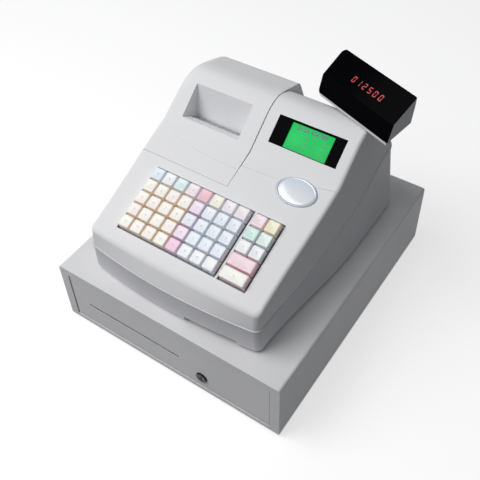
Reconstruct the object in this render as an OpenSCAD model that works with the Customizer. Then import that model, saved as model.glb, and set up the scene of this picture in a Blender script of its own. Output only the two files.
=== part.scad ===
// Ticket register with a swivelling customer display, standing on its cash drawer.
// Frame: X to the right, Y to the back, Z up.
// The origin is the centre of the drawer's footprint on the counter.

/* [Drawer case] */
// Width of the case
case_w = 360; // [350:1:400]
// Depth of the case
case_d = 411; // [400:1:450]
// Height of the case above its feet
case_h = 105; // [104:1:125]
// Thickness of the case sheet
case_t = 1.5; // [1:0.1:2]
// Bend radius along the top edges
case_bend_r = 4; // [2.5:0.5:8]
// Width of the frame at each side of the drawer front
frame_side_w = 14.5; // [12:0.5:16]
// Height of the frame above the drawer front
frame_top_h = 12.5; // [10:0.5:16]
// Height of the turned-up lip below the drawer front
base_lip_h = 7.5; // [5:0.5:9]
// Height of the rubber feet under the case
foot_h = 4; // [3:0.5:8]
// Diameter of the rubber feet
foot_d = 22; // [16:1:30]
// Inset of the feet from the case sides
foot_inset = 28; // [20:1:40]

/* [Drawer] */
// Gap around the drawer front
front_gap = 0.6; // [0.4:0.1:1]
// Thickness of the drawer front
front_t = 3; // [2:0.5:4]
// Gap between the drawer box and the sides of the case
box_side_gap = 18.5; // [18:0.5:22]
// Room behind the drawer box
rear_room = 55.5; // [52:0.5:60]
// Height of the drawer box
box_h = 68; // [62:1:72]
// Thickness of the drawer sheet
box_t = 1.2; // [0.8:0.1:1.6]
// Width of the document slot
slot_w = 158; // [120:1:170]
// Height of the document slot
slot_h = 2.4; // [1.6:0.2:3.4]
// Height of the document slot above the counter
slot_z = 51; // [46:1:60]
// Distance of the document slot's middle from the centre line
slot_x = -57; // [-62:1:-40]
// Gap between the drawer box and its rails
rail_gap = 1; // [0.6:0.1:2]
// Height of the rails' channel
rail_h = 16; // [14:1:20]

/* [Lock] */
// Distance of the lock from the centre line
lock_x = 59; // [50:1:100]
// Height of the lock above the counter
lock_z = 33; // [30:1:36]
// Diameter of the lock's cap
lock_cap_d = 18; // [16:0.5:20]
// Diameter of the lock's threaded body
lock_body_d = 15; // [13:0.5:16]
// Diameter of the key barrel
lock_barrel_d = 10; // [8:0.5:11]
// Length of the lock body behind the drawer front
lock_length = 20; // [16:1:24]

/* [Till tray] */
// Wall thickness of the till tray
till_t = 2; // [1.5:0.1:2.5]
// Height of the till tray
till_h = 48; // [44:1:52]
// Room for documents between the drawer front and the till
chute_d = 35.6; // [34:0.2:40]
// Depth of the coin tray
coin_d = 136; // [120:1:138]
// Height of the coin tray
coin_h = 40; // [34:1:42]
// Number of note compartments
note_count = 4; // [4:1:4]
// Number of coin cups in a row
coin_cols = 4; // [3:1:5]
// Number of rows of coin cups
coin_rows = 2; // [1:1:2]
// Diameter of the rod that carries the note clips
clip_rod_d = 4; // [3:0.5:5]
// Length of a note clip from its rod to its tip
clip_l = 74; // [60:1:78]
// Width of a note clip
clip_w = 18; // [12:1:24]

/* [Register body] */
// Distance of the register's middle from the drawer's centre line
body_x = -2; // [-6:0.5:2]
// Greatest width of the register at its foot
body_w = 305; // [300:1:312]
// How much the foot narrows to the front on each side
body_taper = 18; // [10:1:22]
// Greatest width of the register at its top edges
top_w = 274; // [268:1:280]
// How much the top narrows to the front on each side
top_taper = 4.8; // [0:0.2:8]
// Distance of the foot's front edge from the centre of the drawer
body_front = 187; // [184:1:190]
// Distance of the rear wall from the centre of the drawer
body_rear = 163; // [161:1:180]
// Bow of the front between its corners at the foot
front_bow = 10.5; // [4:0.5:14]
// How far the front leans back above the seam
front_lean = 9.5; // [6:0.5:12]
// Radius of the front corners
front_corner_r = 10; // [6:1:16]
// Radius of the rear corners
rear_corner_r = 22; // [16:1:26]
// Radius of the top edges
top_edge_r = 5; // [3:0.5:7]
// Wall thickness of the housings
wall = 2.6; // [2:0.1:3.2]
// Height of the register's rubber feet
pad_h = 4; // [3:0.5:6]
// Height of the seam above the register's foot at the front
seam_front_h = 43; // [40:1:46]
// Height of the seam above the register's foot at the rear
seam_rear_h = 103; // [98:1:108]
// Width of the light line between the two housings
seam_gap = 0.5; // [0.3:0.1:0.8]

/* [Keyboard panel and display face] */
// Slope of the keyboard panel
panel_angle = 20.6; // [18:0.2:22]
// Slope of the display face
face_angle = 39.4; // [37:0.2:41]
// Distance of the crease behind the drawer's centre
crease_y = 1.65; // [0:0.05:4]
// Height of the crease above the register's foot
crease_h = 136.5; // [134:0.5:140]
// Height of the ridge above the register's foot
ridge_h = 182.5; // [180:0.5:186]
// Width of the display window
window_w = 98.8; // [92:0.2:104]
// Height of the display window along the face
window_h = 39; // [34:0.5:40]
// Distance of the window's middle from the centre line
window_x = 69.5; // [66:0.5:72]
// Distance of the window's upper edge below the ridge
window_drop = 12; // [11:0.5:15]
// Width of the oval badge
badge_w = 57; // [48:1:60]
// Height of the oval badge
badge_h = 39; // [32:1:41]
// Distance of the badge's middle from the centre line
badge_x = 88; // [80:1:92]
// Distance of the badge's middle below the crease
badge_v = 25.7; // [24:0.1:28]

/* [Keys] */
// Pitch of the keys
key_pitch = 19; // [18.6:0.1:19.1]
// Size of a key at its foot
key_foot = 18; // [17:0.1:18.1]
// Size of a key at its top
key_top = 14.4; // [12:0.1:15.5]
// Height of a key's top above the panel
key_rise = 8; // [6:0.2:9]
// Travel of the keys
key_travel = 3; // [2:0.1:3.4]
// Distance of the first column from the centre line
key_x0 = -89.2; // [-91:0.1:-88]
// Distance of the first row below the crease
key_v0 = 82.6; // [82:0.1:84]
// Gap between the main block and the right block
block_gap = 6.5; // [6.2:0.1:7.5]
// Width of the frame around the keys
well_gap = 1.8; // [1.2:0.1:2]
// Diameter of a key's stem
stem_d = 6; // [5:0.5:8]

/* [Printer and its cover] */
// Right edge of the cover from the centre line
cover_right = 2; // [0:0.5:4]
// Front edge of the cover from the centre of the drawer
cover_front = -51; // [-56:1:-50]
// Gap around the cover
cover_gap = 0.6; // [0.4:0.1:1]
// Width of the ticket recess
recess_w = 92; // [90:1:96]
// Distance of the recess's middle from the centre line
recess_x = -66.5; // [-68:0.5:-64]
// Diameter of the cover's hinge knuckles
knuckle_d = 9; // [8:0.5:10]
// Diameter of the cover's hinge pins
hinge_pin_d = 4; // [3:0.5:5]
// Width of the printer frame
printer_w = 90; // [88:1:92]
// Diameter of the paper roll
roll_d = 62; // [40:1:64]
// Width of the paper roll
roll_w = 76; // [57:1:76]
// Diameter of the platen roller
platen_d = 14; // [12:0.5:14]
// Module of the feed gears
gear_module = 0.8; // [0.8:0.1:0.8]
// Teeth of the gear on the platen
platen_teeth = 28; // [28:1:28]
// Teeth of the pinion on the motor
pinion_teeth = 12; // [12:1:12]

/* [Customer display] */
// Distance of the post from the centre line
post_x = 117; // [112:1:118]
// Distance of the post behind the centre of the drawer
post_y = 93; // [90:1:96]
// Diameter of the post
post_d = 24; // [18:1:26]
// Gap between the ridge and the head
head_gap = 6.5; // [6:0.5:12]
// Length of the head to the right of its post
head_right = 61; // [56:1:66]
// Length of the head to the left of its post
head_left = 68; // [56:1:70]
// Radius of the head's left corners
head_corner_r = 9; // [3:0.5:12]
// Turn of the head from straight ahead
head_turn = -21; // [-40:1:0]
// Thickness of the head's lens
lens_t = 2.4; // [1.8:0.2:3]

/* [Hidden] */
$fn = 48;

LIGHT_GREY = [0.87, 0.87, 0.89];
BEIGE_GREY = [0.80, 0.80, 0.81];
SHEET_GREY = [0.78, 0.78, 0.79];
ZINC = [0.70, 0.71, 0.73];
STEEL = [0.60, 0.61, 0.63];
RUBBER = [0.10, 0.10, 0.11];
DARK_PLASTIC = [0.16, 0.16, 0.18];
GLASS_BLACK = [0.03, 0.03, 0.05];
DOT_GREEN = [0.20, 0.85, 0.42];
BADGE_WHITE = [0.90, 0.93, 0.97];
BOARD_GREEN = [0.10, 0.38, 0.22];
PAPER = [0.96, 0.96, 0.94];
CREAM = [0.98, 0.94, 0.88];
PALE_PINK = [0.97, 0.80, 0.86];
ICE = [0.90, 0.94, 0.98];

// Clearances shared by several pieces
touch_gap = 0.3;      // between faces of pieces that move past each other
run_gap = 0.05;       // on the radius of a shaft in its bore
far = 500;            // longer than the whole model

// Levels and planes of the drawer
case_z0 = foot_h;
case_z1 = foot_h + case_h;
case_y0 = -case_d / 2;
case_y1 = case_d / 2;
inner_w = case_w - 2 * case_t;
box_w = inner_w - 2 * box_side_gap;
opening_w = case_w - 2 * frame_side_w;
opening_z0 = case_z0 + base_lip_h;
opening_z1 = case_z1 - frame_top_h;
front_recess = 1;
front_y0 = case_y0 + front_recess;
front_y1 = front_y0 + front_t;
box_z0 = case_z0 + case_t + 6;
box_z1 = box_z0 + box_h;
box_y1 = case_y1 - case_t - rear_room;
rail_z0 = case_z0 + 26;
rail_t = 1.6;
till_y1 = box_y1 - box_t - 1;
till_y0 = front_y1 + box_t + chute_d;
note_d = till_y1 - till_y0 - coin_d - 3 * till_t - 1;
till_z0 = box_z0 + box_t;
till_w = box_w - 2 * box_t - 1;
note_cell_w = (till_w - (note_count + 1) * till_t) / note_count;
clip_hub_d = clip_rod_d + 5;
clip_y = till_y1 - till_t - clip_hub_d / 2 - 0.5;
clip_z = till_z0 + till_h - clip_rod_d;
clip_drop = 30;       // slope of a clip that lies on its notes

// Levels of the register
reg_z0 = case_z1 + pad_h;
crease_z = reg_z0 + crease_h;
ridge_z = reg_z0 + ridge_h;
face_l = (ridge_z - crease_z) / sin(face_angle);
window_v = face_l - window_drop - window_h;
seam_front_z = reg_z0 + seam_front_h;
seam_rear_z = reg_z0 + seam_rear_h;
front_top_z = crease_z - tan(panel_angle) * (body_front - front_lean + crease_y);

// Small helpers
function clamp01(t) = min(1, max(0, t));
function ease(t) = (1 - cos(180 * clamp01(t))) / 2;
function soft_min(a, b, k) = min(a, b) - pow(max(k - abs(a - b), 0) / k, 2) * k / 4;
function soft_max(a, b, k) = -soft_min(-a, -b, k);
function mix(a, b, t) = a + (b - a) * t;

// Side view of the register: height of its top, of the cover's top and of the seam at each depth
function panel_z(y) = crease_z + tan(panel_angle) * (y - crease_y);
function face_z(y) = crease_z + tan(face_angle) * (y - crease_y);
function front_z(y) = soft_max(panel_z(y), face_z(y), 3);
function crown_z(y) = soft_min(front_z(y), ridge_z, 14);
function housing_top(y) = soft_min(crown_z(y), ridge_z - 0.9 * (y - ridge_back_y), 20);
function cover_top(y) = soft_min(
    soft_min(crown_z(y), ridge_z - 0.44 * (y - hump_y), 4),
    hinge_z + 4.5 + 2.1 * (hinge_y - 3 - y), 6);
function seam_line(y) = lookup(y, [
    [-95, seam_front_z], [45, seam_front_z + 33], [85, seam_front_z + 51], [115, seam_rear_z]]);
function seam_z(y) = (seam_line(y - 12) + seam_line(y) + seam_line(y + 12)) / 3;
ridge_back_y = 90;
hump_y = 79;
hinge_y = body_rear - 11;
hinge_z = seam_rear_z + 11;

// Plan of the register: half width of its side wall at a depth and height, and the place of its bowed front
function wall_x(y, z) = mix(
    body_w / 2 - body_taper * ease((40 - y) / 220),
    top_w / 2 - top_taper * ease((10 - y) / 180),
    (z - reg_z0) / (housing_top(y) - reg_z0));
function front_part(z) = clamp01((z - seam_front_z) / (front_top_z - seam_front_z));
function front_y(z) = -body_front + front_lean * front_part(z);
function bow(z) = mix(front_bow, front_bow / 3, front_part(z));

// One half of a closed ring around the body, from the front's middle over the right side to the rear.
// front_level: height of the ring at the front; level: its height at each depth;
// inset: distance to the outer wall
front_steps = 4;
corner_steps = 5;
side_steps = 30;
function half_ring(front_level, level, inset) =
    let (
        r1 = max(front_corner_r - inset, 3),
        r2 = max(rear_corner_r - inset, 3),
        y0 = front_y(front_level) + inset,
        y2 = body_rear - inset - r2,
        w1 = wall_x(y0 + front_bow + r1, front_level) - inset,
        w2 = wall_x(y2, level(y2)) - inset,
        x1 = w1 - r1,
        y1 = y0 + bow(front_level) * pow((x1 + r1 * cos(80)) / w1, 2) + r1 * sin(80),
        front = [for (i = [0:front_steps - 1]) let (x = (x1 + r1 * cos(80)) * i / front_steps)
            [x, y0 + bow(front_level) * pow(x / w1, 2)]],
        corner = [for (i = [0:corner_steps]) let (a = -80 + 80 * i / corner_steps)
            [x1 + r1 * cos(a), y1 + r1 * sin(a)]],
        side = [for (i = [1:side_steps]) let (y = mix(y1, y2, i / side_steps))
            [wall_x(y, level(y)) - inset, y]],
        rear = [for (i = [1:corner_steps]) let (a = 90 * i / corner_steps)
            [w2 - r2 + r2 * cos(a), y2 + r2 * sin(a)]],
        half = concat(front, corner, side, rear))
    [for (p = half) [p.x, p.y, level(p.y)]];

// A solid through rings of equal length, closed below and above by strips across the body
module ring_loft(halves) {
    n = len(halves[0]);
    m = 2 * n - 1;
    top = m * (len(halves) - 1);
    points = [for (h = halves) each concat(h, [for (i = [n - 1:-1:1]) [-h[i].x, h[i].y, h[i].z]])];
    walls = [for (j = [0:len(halves) - 2]) for (i = [0:m - 1])
        let (a = j * m + i, b = j * m + (i + 1) % m)
        each [[a, a + m, b + m], [a, b + m, b]]];
    floor_strips = [for (i = [0:n - 2]) let (a = i, b = i + 1, c = (m - i - 1) % m, d = (m - i) % m)
        each concat([[a, b, c]], a == d ? [] : [[a, c, d]])];
    roof_strips = [for (f = floor_strips) [f[2] + top, f[1] + top, f[0] + top]];
    polyhedron(points, concat(walls, floor_strips, roof_strips));
}

// The outer form from the seam up to a rounded top edge, under the given top line
module dressed_form(top_line, base_line, base_front, edge_r, inset = 0, drop = 0) {
    t = function (y) top_line(y) - drop;
    tf = front_top_z - drop;
    on_body() ring_loft(concat(
        [half_ring(base_front, base_line, inset)],
        [for (a = [0:30:90]) half_ring(tf - edge_r * (1 - sin(a)),
            function (y) t(y) - edge_r * (1 - sin(a)), inset + edge_r * (1 - cos(a)))]));
}

// Frames on the keyboard panel and on the display face: X right, Y up the slope, Z out of the surface
module on_panel() translate([0, crease_y, crease_z]) rotate([panel_angle, 0, 0]) children();
module on_face() translate([0, crease_y, crease_z]) rotate([face_angle, 0, 0]) children();

// Frame of the register's middle plane
module on_body() translate([body_x, 0, 0]) children();

// A block between two corners, and one around a middle point in X and Z that runs from y0 to y1
module block(low, high) translate(low) cube(high - low);
module wall_block(x, z, w, h, y0, y1) block([x - w / 2, y0, z - h / 2], [x + w / 2, y1, z + h / 2]);

// A side-view outline (points are depth and height) carried from x0 to x1
module side_plate(x0, x1, outline) translate([x0, 0, 0]) rotate([90, 0, 90])
    linear_extrude(x1 - x0) polygon(outline);

// A cylinder along X or along Y
module rod_x(x0, x1, y, z, d) translate([x0, y, z]) rotate([0, 90, 0]) cylinder(h = x1 - x0, d = d);
module rod_y(y0, y1, x, z, d) translate([x, y0, z]) rotate([-90, 0, 0]) cylinder(h = y1 - y0, d = d);

module both_sides() {
    children();
    mirror([1, 0, 0]) children();
}

// ---- Drawer case ----

module case_section(w, z1, r) {
    translate([-w / 2, case_z0]) square([w, z1 - r - case_z0]);
    translate([-w / 2 + r, case_z0]) square([w - 2 * r, z1 - case_z0]);
    for (s = [-1, 1]) translate([s * (w / 2 - r), z1 - r]) circle(r);
}

module drawer_case() color(SHEET_GREY) difference() {
    translate([0, case_y1, 0]) rotate([90, 0, 0]) linear_extrude(case_d)
        case_section(case_w, case_z1, case_bend_r);
    translate([0, case_y1 - case_t, -case_t]) rotate([90, 0, 0]) linear_extrude(case_d - 2 * case_t)
        case_section(inner_w, case_z1, case_bend_r - case_t);
    block([-opening_w / 2, case_y0 - 1, 0], [opening_w / 2, case_y0 + 2 * case_t, opening_z1]);
    block([-inner_w / 2, case_y0 + case_t, 0], [inner_w / 2, case_y1 - case_t, case_z0 + case_t]);
}

module drawer_base() color(SHEET_GREY) {
    y1 = case_y1 - case_t;
    difference() {
        block([-inner_w / 2, case_y0 + case_t, case_z0], [inner_w / 2, y1, case_z0 + case_t]);
        for (x = [-1, 1], y = [-1, 1])
            translate([x * (case_w / 2 - foot_inset), y * (case_d / 2 - foot_inset), case_z0 - 1])
                cylinder(h = case_t + 2, d = foot_stud_d);
    }
    block([-opening_w / 2, case_y0, case_z0], [opening_w / 2, case_y0 + case_t, opening_z0]);
}
foot_stud_d = 6;

module rubber_foot(d, h, stud_d, stud_h) rotate_extrude()
    polygon([[0, 0], [d / 2 - 1, 0], [d / 2, 1], [d / 2 - 0.6, h], [stud_d / 2, h],
        [stud_d / 2, h + stud_h], [0, h + stud_h]]);

module drawer_feet() color(RUBBER) for (x = [-1, 1], y = [-1, 1])
    translate([x * (case_w / 2 - foot_inset), y * (case_d / 2 - foot_inset), 0])
        rubber_foot(foot_d, foot_h, foot_stud_d, case_t);

rail_x1 = inner_w / 2;
rail_x0 = box_w / 2 + rail_gap;
rail_y0 = case_y0 + 14;
rail_y1 = case_y1 - 12;
module case_rails() color(ZINC) both_sides() {
    translate([0, rail_y1, 0]) rotate([90, 0, 0]) linear_extrude(rail_y1 - rail_y0) polygon([
        [rail_x0, rail_z0], [rail_x1, rail_z0], [rail_x1, rail_z0 + rail_h], [rail_x0, rail_z0 + rail_h],
        [rail_x0, rail_z0 + rail_h - rail_t], [rail_x1 - rail_t, rail_z0 + rail_h - rail_t],
        [rail_x1 - rail_t, rail_z0 + rail_t], [rail_x0, rail_z0 + rail_t]]);
    block([rail_x0, rail_y0 - rail_t, rail_z0], [rail_x1, rail_y0, rail_z0 + rail_h / 2 - runner_t]);
}

// ---- Latch at the rear of the case ----

latch_y = box_y1 + 12;
latch_z = box_z0 + box_h / 2;
latch_pin_d = 4;
latch_base_w = 52;
strike_w = 16;
strike_l = 10;
strike_h = 5;
plunger_z = latch_z - 6.3;
module latch_unit() color(STEEL) {
    z0 = case_z0 + case_t;
    y1 = case_y1 - case_t;
    block([-latch_base_w / 2, latch_y, z0], [latch_base_w / 2, y1, z0 + 2]);
    for (s = [-1, 1]) side_plate(s * 12 - 1, s * 12 + 1, [
        [latch_y, z0], [y1, z0], [y1, latch_z - 8], [latch_y + 12, latch_z + 6], [latch_y, latch_z + 6]]);
    rod_x(-13, 13, latch_y + 6, latch_z, latch_pin_d);
    block([-9, latch_y + 13, z0 + 2], [9, y1, z0 + 20]);
    translate([0, latch_y + 20, z0 + 20]) cylinder(h = plunger_z - z0 - 20, d = 10);
}

// The hook in its released place: its claw stands above the strike, and its tail rests over the plunger.
// The claw's nose slopes, so that the strike lifts it as the drawer shuts.
claw_rise = 0.7;
module latch_hook() color(ZINC) translate([0, latch_y + 6, latch_z]) difference() {
    side_plate(-4, 4, [
        [16, -6], [16, -2], [4, 3], [4, 6], [-2, 12.5], [-14, 12.5], [-15.2, strike_h + 4.4],
        [-13, strike_h + claw_rise], [-12, strike_h + claw_rise], [-11.5, strike_h + 3.5],
        [-6, strike_h + 3.5], [-4.5, 0], [-4, -4], [4, -4]]);
    rod_x(-5, 5, 0, 0, latch_pin_d + 2 * run_gap);
}

// ---- Drawer ----

runner_t = 2;
module drawer_box() color(ZINC) {
    x1 = box_w / 2;
    y0 = front_y1;
    difference() {
        block([-x1, y0, box_z0], [x1, box_y1, box_z1]);
        block([-x1 + box_t, y0 + box_t, box_z0 + box_t], [x1 - box_t, box_y1 - box_t, box_z1 + 1]);
        wall_block(slot_x, slot_z, slot_w, 2 * slot_h, y0 - 1, y0 + box_t + 1);
        rod_y(y0 - 1, y0 + box_t + 1, lock_x, lock_z, lock_body_d + 2 * touch_gap);
    }
    both_sides() block([x1, y0 + 4, runner_z0],
        [opening_w / 2 - touch_gap, box_y1 - glide_l, runner_z0 + runner_t]);
    // Strike: a shelf with a turned-up end that the latch hook drops behind
    block([-strike_w / 2, box_y1 - box_t / 2, latch_z - 2], [strike_w / 2, box_y1 + strike_l, latch_z]);
    block([-strike_w / 2, box_y1 + strike_l - 2, latch_z - 2],
        [strike_w / 2, box_y1 + strike_l, latch_z + strike_h]);
}
runner_z0 = rail_z0 + rail_h / 2 - runner_t + touch_gap;
glide_l = 30;

module drawer_glides() color("white") both_sides() difference() {
    block([box_w / 2, box_y1 - glide_l, rail_z0 + rail_t + touch_gap],
        [rail_x1 - rail_t - touch_gap, box_y1, rail_z0 + rail_h - rail_t - touch_gap]);
    rod_x(box_w / 2 - 1, rail_x1, box_y1 - glide_l / 2, rail_z0 + rail_h / 2, 5);
}

module drawer_front() color(BEIGE_GREY) {
    w = opening_w - 2 * front_gap;
    z0 = opening_z0 + front_gap;
    z1 = opening_z1 - front_gap;
    difference() {
        block([-w / 2, front_y0, z0], [w / 2, front_y1, z1]);
        wall_block(slot_x, slot_z, slot_w, slot_h, front_y0 - 1, front_y1 + 1);
        rod_y(front_y0 - 1, front_y1 + 1, lock_x, lock_z, lock_body_d + 2 * touch_gap);
    }
    // Rounded lip along the lower edge of the document slot
    rod_x(slot_x - slot_w / 2, slot_x + slot_w / 2, front_y0 + 0.4, slot_z - slot_h / 2 - 0.9, 1.8);
}

// ---- Lock ----

lock_cap_t = 2.2;
module lock_body() color("silver") difference() {
    union() {
        translate([lock_x, front_y0, lock_z]) rotate([90, 0, 0]) rotate_extrude()
            polygon([[0, 0], [lock_cap_d / 2, 0], [lock_cap_d / 2, lock_cap_t - 1],
                [lock_cap_d / 2 - 1, lock_cap_t], [0, lock_cap_t]]);
        rod_y(front_y0, front_y0 + lock_length, lock_x, lock_z, lock_body_d);
        translate([lock_x, front_y1 + box_t, lock_z]) rotate([-90, 0, 0])
            cylinder(h = 3, d = lock_cap_d + 2, $fn = 6);
    }
    rod_y(front_y0 - lock_cap_t - 1, front_y0 + lock_length + 1, lock_x, lock_z, lock_barrel_d + 2 * run_gap);
}

module lock_barrel() color("silver") difference() {
    union() {
        rod_y(front_y0 - lock_cap_t + 0.4, front_y0 + lock_length + 3, lock_x, lock_z, lock_barrel_d);
        block([lock_x - 5, front_y0 + lock_length + touch_gap, lock_z - 4],
            [lock_x + 16, front_y0 + lock_length + 3, lock_z + 4]);
    }
    block([lock_x - 0.8, front_y0 - lock_cap_t, lock_z - 3.4], [lock_x + 0.8, front_y0 + 4, lock_z + 3.4]);
    rod_y(front_y0 - lock_cap_t, front_y0 - lock_cap_t + 1, lock_x, lock_z, 3);
}

// ---- Till ----

function note_x(i) = -till_w / 2 + till_t + note_cell_w / 2 + i * (note_cell_w + till_t);
coin_y0 = till_y0 + till_t;
note_y0 = coin_y0 + coin_d + 1 + till_t;
module till_tray() color(DARK_PLASTIC) difference() {
    z1 = till_z0 + till_h;
    block([-till_w / 2, till_y0, till_z0], [till_w / 2, till_y1, z1]);
    for (i = [0:note_count - 1]) block([note_x(i) - note_cell_w / 2, note_y0, till_z0 + till_t],
        [note_x(i) + note_cell_w / 2, till_y1 - till_t, z1 + 1]);
    block([-till_w / 2 + till_t, coin_y0, till_z0 + till_t],
        [till_w / 2 - till_t, coin_y0 + coin_d + 1, z1 + 1]);
    rod_x(-till_w / 2 - 1, till_w / 2 + 1, clip_y, clip_z, clip_rod_d + 2 * run_gap);
    both_sides() translate([till_w / 2, (till_y0 + till_y1) / 2, z1]) rotate([0, 90, 0])
        cylinder(h = 3 * till_t, d = 22, center = true);
}

coin_w = till_w - 2 * till_t - 1;
coin_cell_w = (coin_w - (coin_cols + 1) * till_t) / coin_cols;
coin_cell_d = (coin_d - (coin_rows + 1) * till_t) / coin_rows;
coin_z0 = till_z0 + till_t;
function coin_x(i) = -coin_w / 2 + till_t + coin_cell_w / 2 + i * (coin_cell_w + till_t);
function coin_y(j) = coin_y0 + till_t + coin_cell_d / 2 + j * (coin_cell_d + till_t);
module coin_cup() {
    // A box with a scooped floor, so that coins slide out under a fingertip
    scoop = coin_cell_d;
    intersection() {
        block([-coin_cell_w / 2, -coin_cell_d / 2, till_t], [coin_cell_w / 2, coin_cell_d / 2, coin_h + 1]);
        union() {
            rod_x(-coin_cell_w / 2 - 1, coin_cell_w / 2 + 1, 0, till_t + scoop / 2, scoop);
            block([-coin_cell_w, -coin_cell_d, till_t + scoop / 2], [coin_cell_w, coin_cell_d, coin_h + 2]);
        }
    }
}

module coin_tray() color(DARK_PLASTIC) difference() {
    block([-coin_w / 2, coin_y0 + 0.5, coin_z0], [coin_w / 2, coin_y0 + coin_d, coin_z0 + coin_h]);
    for (i = [0:coin_cols - 1], j = [0:coin_rows - 1]) translate([coin_x(i), coin_y(j), coin_z0]) coin_cup();
}

module clip_rod() color(STEEL) rod_x(-till_w / 2, till_w / 2, clip_y, clip_z, clip_rod_d);

module note_clip(i) color(DARK_PLASTIC) translate([note_x(i), clip_y, clip_z]) difference() {
    union() {
        rod_x(-clip_w / 2, clip_w / 2, 0, 0, clip_hub_d);
        rotate([clip_drop, 0, 0]) side_plate(-clip_w / 2, clip_w / 2, [
            [0, clip_hub_d / 2], [-clip_l + 6, 1.5], [-clip_l, 5], [-clip_l - 2, 3.6],
            [-clip_l + 5, -1.5], [-6, -1], [0, -clip_hub_d / 2]]);
    }
    rod_x(-clip_w, clip_w, 0, 0, clip_rod_d + 2 * run_gap);
    rotate([clip_drop, 0, 0]) block([-clip_w / 2 + 4, -clip_l + 16, -10], [clip_w / 2 - 4, -12, 10]);
}

// ---- Register housings ----

boss_d = 9;
boss_hole_d = 3.4;
boss_ys = [-128, 118];
function boss_x(y) = wall_x(y, housing_top(y)) - wall - boss_d / 2 - 1;
function boss_z(y) = seam_z(y) - 5;

// The space that the printer cover takes out of the upper housing, and the cover's own share of it
cut_slope = 0.088;
function cut_z(y) = seam_rear_z + 6.5 + cut_slope * (y - hinge_y);
hinge_ledge = hinge_z - knuckle_d / 2 - cover_gap;
module cover_space() side_plate(-far / 2, cover_right + cover_gap, [
    [cover_front - cover_gap, cut_z(cover_front) - cover_gap], [hinge_y - 3.4, cut_z(hinge_y) - cover_gap],
    [hinge_y - 3.4, hinge_ledge], [hinge_y + knuckle_d / 2 + 0.8, hinge_ledge],
    [hinge_y + knuckle_d / 2 + 0.8, hinge_z + 2.5], [far / 2, hinge_z + 2.5], [far / 2, far],
    [cover_front - cover_gap, far]]);
module cover_share() side_plate(-far / 2, cover_right, [
    [cover_front, cut_z(cover_front)], [hinge_y - 4, cut_z(hinge_y - 4)],
    [hinge_y - 4, hinge_z + 4], [far / 2, hinge_z + 4], [far / 2, far], [cover_front, far]]);

seam_plus = function (y) seam_z(y) + seam_gap;
seam_low = function (y) seam_z(y) - 6;
top_line = function (y) housing_top(y);
cover_line = function (y) cover_top(y);
inner_drop = wall * 1.2;

module key_well(x0, x1, rows, depth) block(
    [x0 - well_gap, -key_v0 - (rows - 0.5) * key_pitch - well_gap, -depth],
    [x1 + well_gap, -key_v0 + key_pitch / 2 + well_gap, far / 10]);
main_x0 = key_x0 - key_pitch / 2;
main_x1 = key_x0 + 7.5 * key_pitch;
side_x0 = main_x1 + block_gap;
side_x1 = side_x0 + 2 * key_pitch;

module upper_housing() color(LIGHT_GREY) {
    difference() {
        dressed_form(top_line, seam_plus, seam_front_z + seam_gap, top_edge_r);
        difference() {
            dressed_form(top_line, seam_low, seam_front_z - 6, 3, wall, inner_drop);
            // Partition beside the printer bay, and the bay's front wall
            block([cover_right + cover_gap, cover_front - cover_gap - wall, reg_z0],
                [cover_right + cover_gap + wall, far / 2, far]);
            block([-far / 2, cover_front - cover_gap - wall, reg_z0 + 60],
                [cover_right + cover_gap + wall, cover_front - cover_gap, far]);
            // Ledge under the cover's hinge
            block([-far / 2, hinge_y - 3.4 - wall, hinge_ledge - wall],
                [cover_right + cover_gap + wall, far / 2, hinge_ledge]);
        }
        cover_space();
        on_panel() key_well(main_x0, main_x1, 5, bed_depth);
        on_panel() key_well(side_x0, side_x1, 5, bed_depth);
        on_face() block([window_x - window_w / 2, window_v, -far / 20],
            [window_x + window_w / 2, window_v + window_h, far / 10]);
        translate([post_x, post_y, ridge_z - 40]) cylinder(h = 80, d = post_d + 6);
    }
    on_body() for (y = boss_ys) upper_boss(y);
    on_body() mirror([1, 0, 0]) upper_boss(boss_ys[0]);
    hinge_ear(hinge_left);
    hinge_ear(hinge_right);
}

// Screw column that hangs from the upper housing down to the lower housing's column
module upper_boss(y) {
    roof = min(housing_top(y - boss_d / 2), housing_top(y + boss_d / 2)) - inner_drop + 0.6;
    difference() {
        translate([boss_x(y), y, boss_z(y)]) cylinder(h = roof - boss_z(y), d = boss_d);
        translate([boss_x(y), y, boss_z(y) - 1]) cylinder(h = 16, d = boss_hole_d - 0.8);
    }
    boss_rib(y, seam_z(y) + 4, housing_top(y) - inner_drop - 4);
}

// Rib from a screw column to the side wall
module boss_rib(y, z0, z1) translate([0, y + rib_t / 2, 0]) rotate([90, 0, 0]) linear_extrude(rib_t) polygon([
    [boss_x(y) + boss_d / 2 - 0.8, z0], [wall_x(y, z0) - wall / 2, z0],
    [wall_x(y, z1) - wall / 2, z1], [boss_x(y) + boss_d / 2 - 0.8, z1]]);
rib_t = 2;

ear_t = 5;
knuckle_l = 10;
pin_reach = ear_t / 2 + touch_gap + knuckle_l;
hinge_left = body_x - (top_w / 2 - 26);
hinge_right = cover_right - 10;
module hinge_ear(x) {
    ear_side = x < -far / 10 ? 1 : -1;
    side_plate(x - ear_t / 2, x + ear_t / 2, [
        [hinge_y - knuckle_d / 2, hinge_z], [hinge_y - knuckle_d / 2, hinge_ledge - 1],
        [hinge_y + knuckle_d / 2, hinge_ledge - 1], [hinge_y + knuckle_d / 2, hinge_z]]);
    rod_x(x - ear_t / 2, x + ear_t / 2, hinge_y, hinge_z, knuckle_d);
    rod_x(min(x, x + ear_side * pin_reach), max(x, x + ear_side * pin_reach), hinge_y, hinge_z, hinge_pin_d);
}

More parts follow.
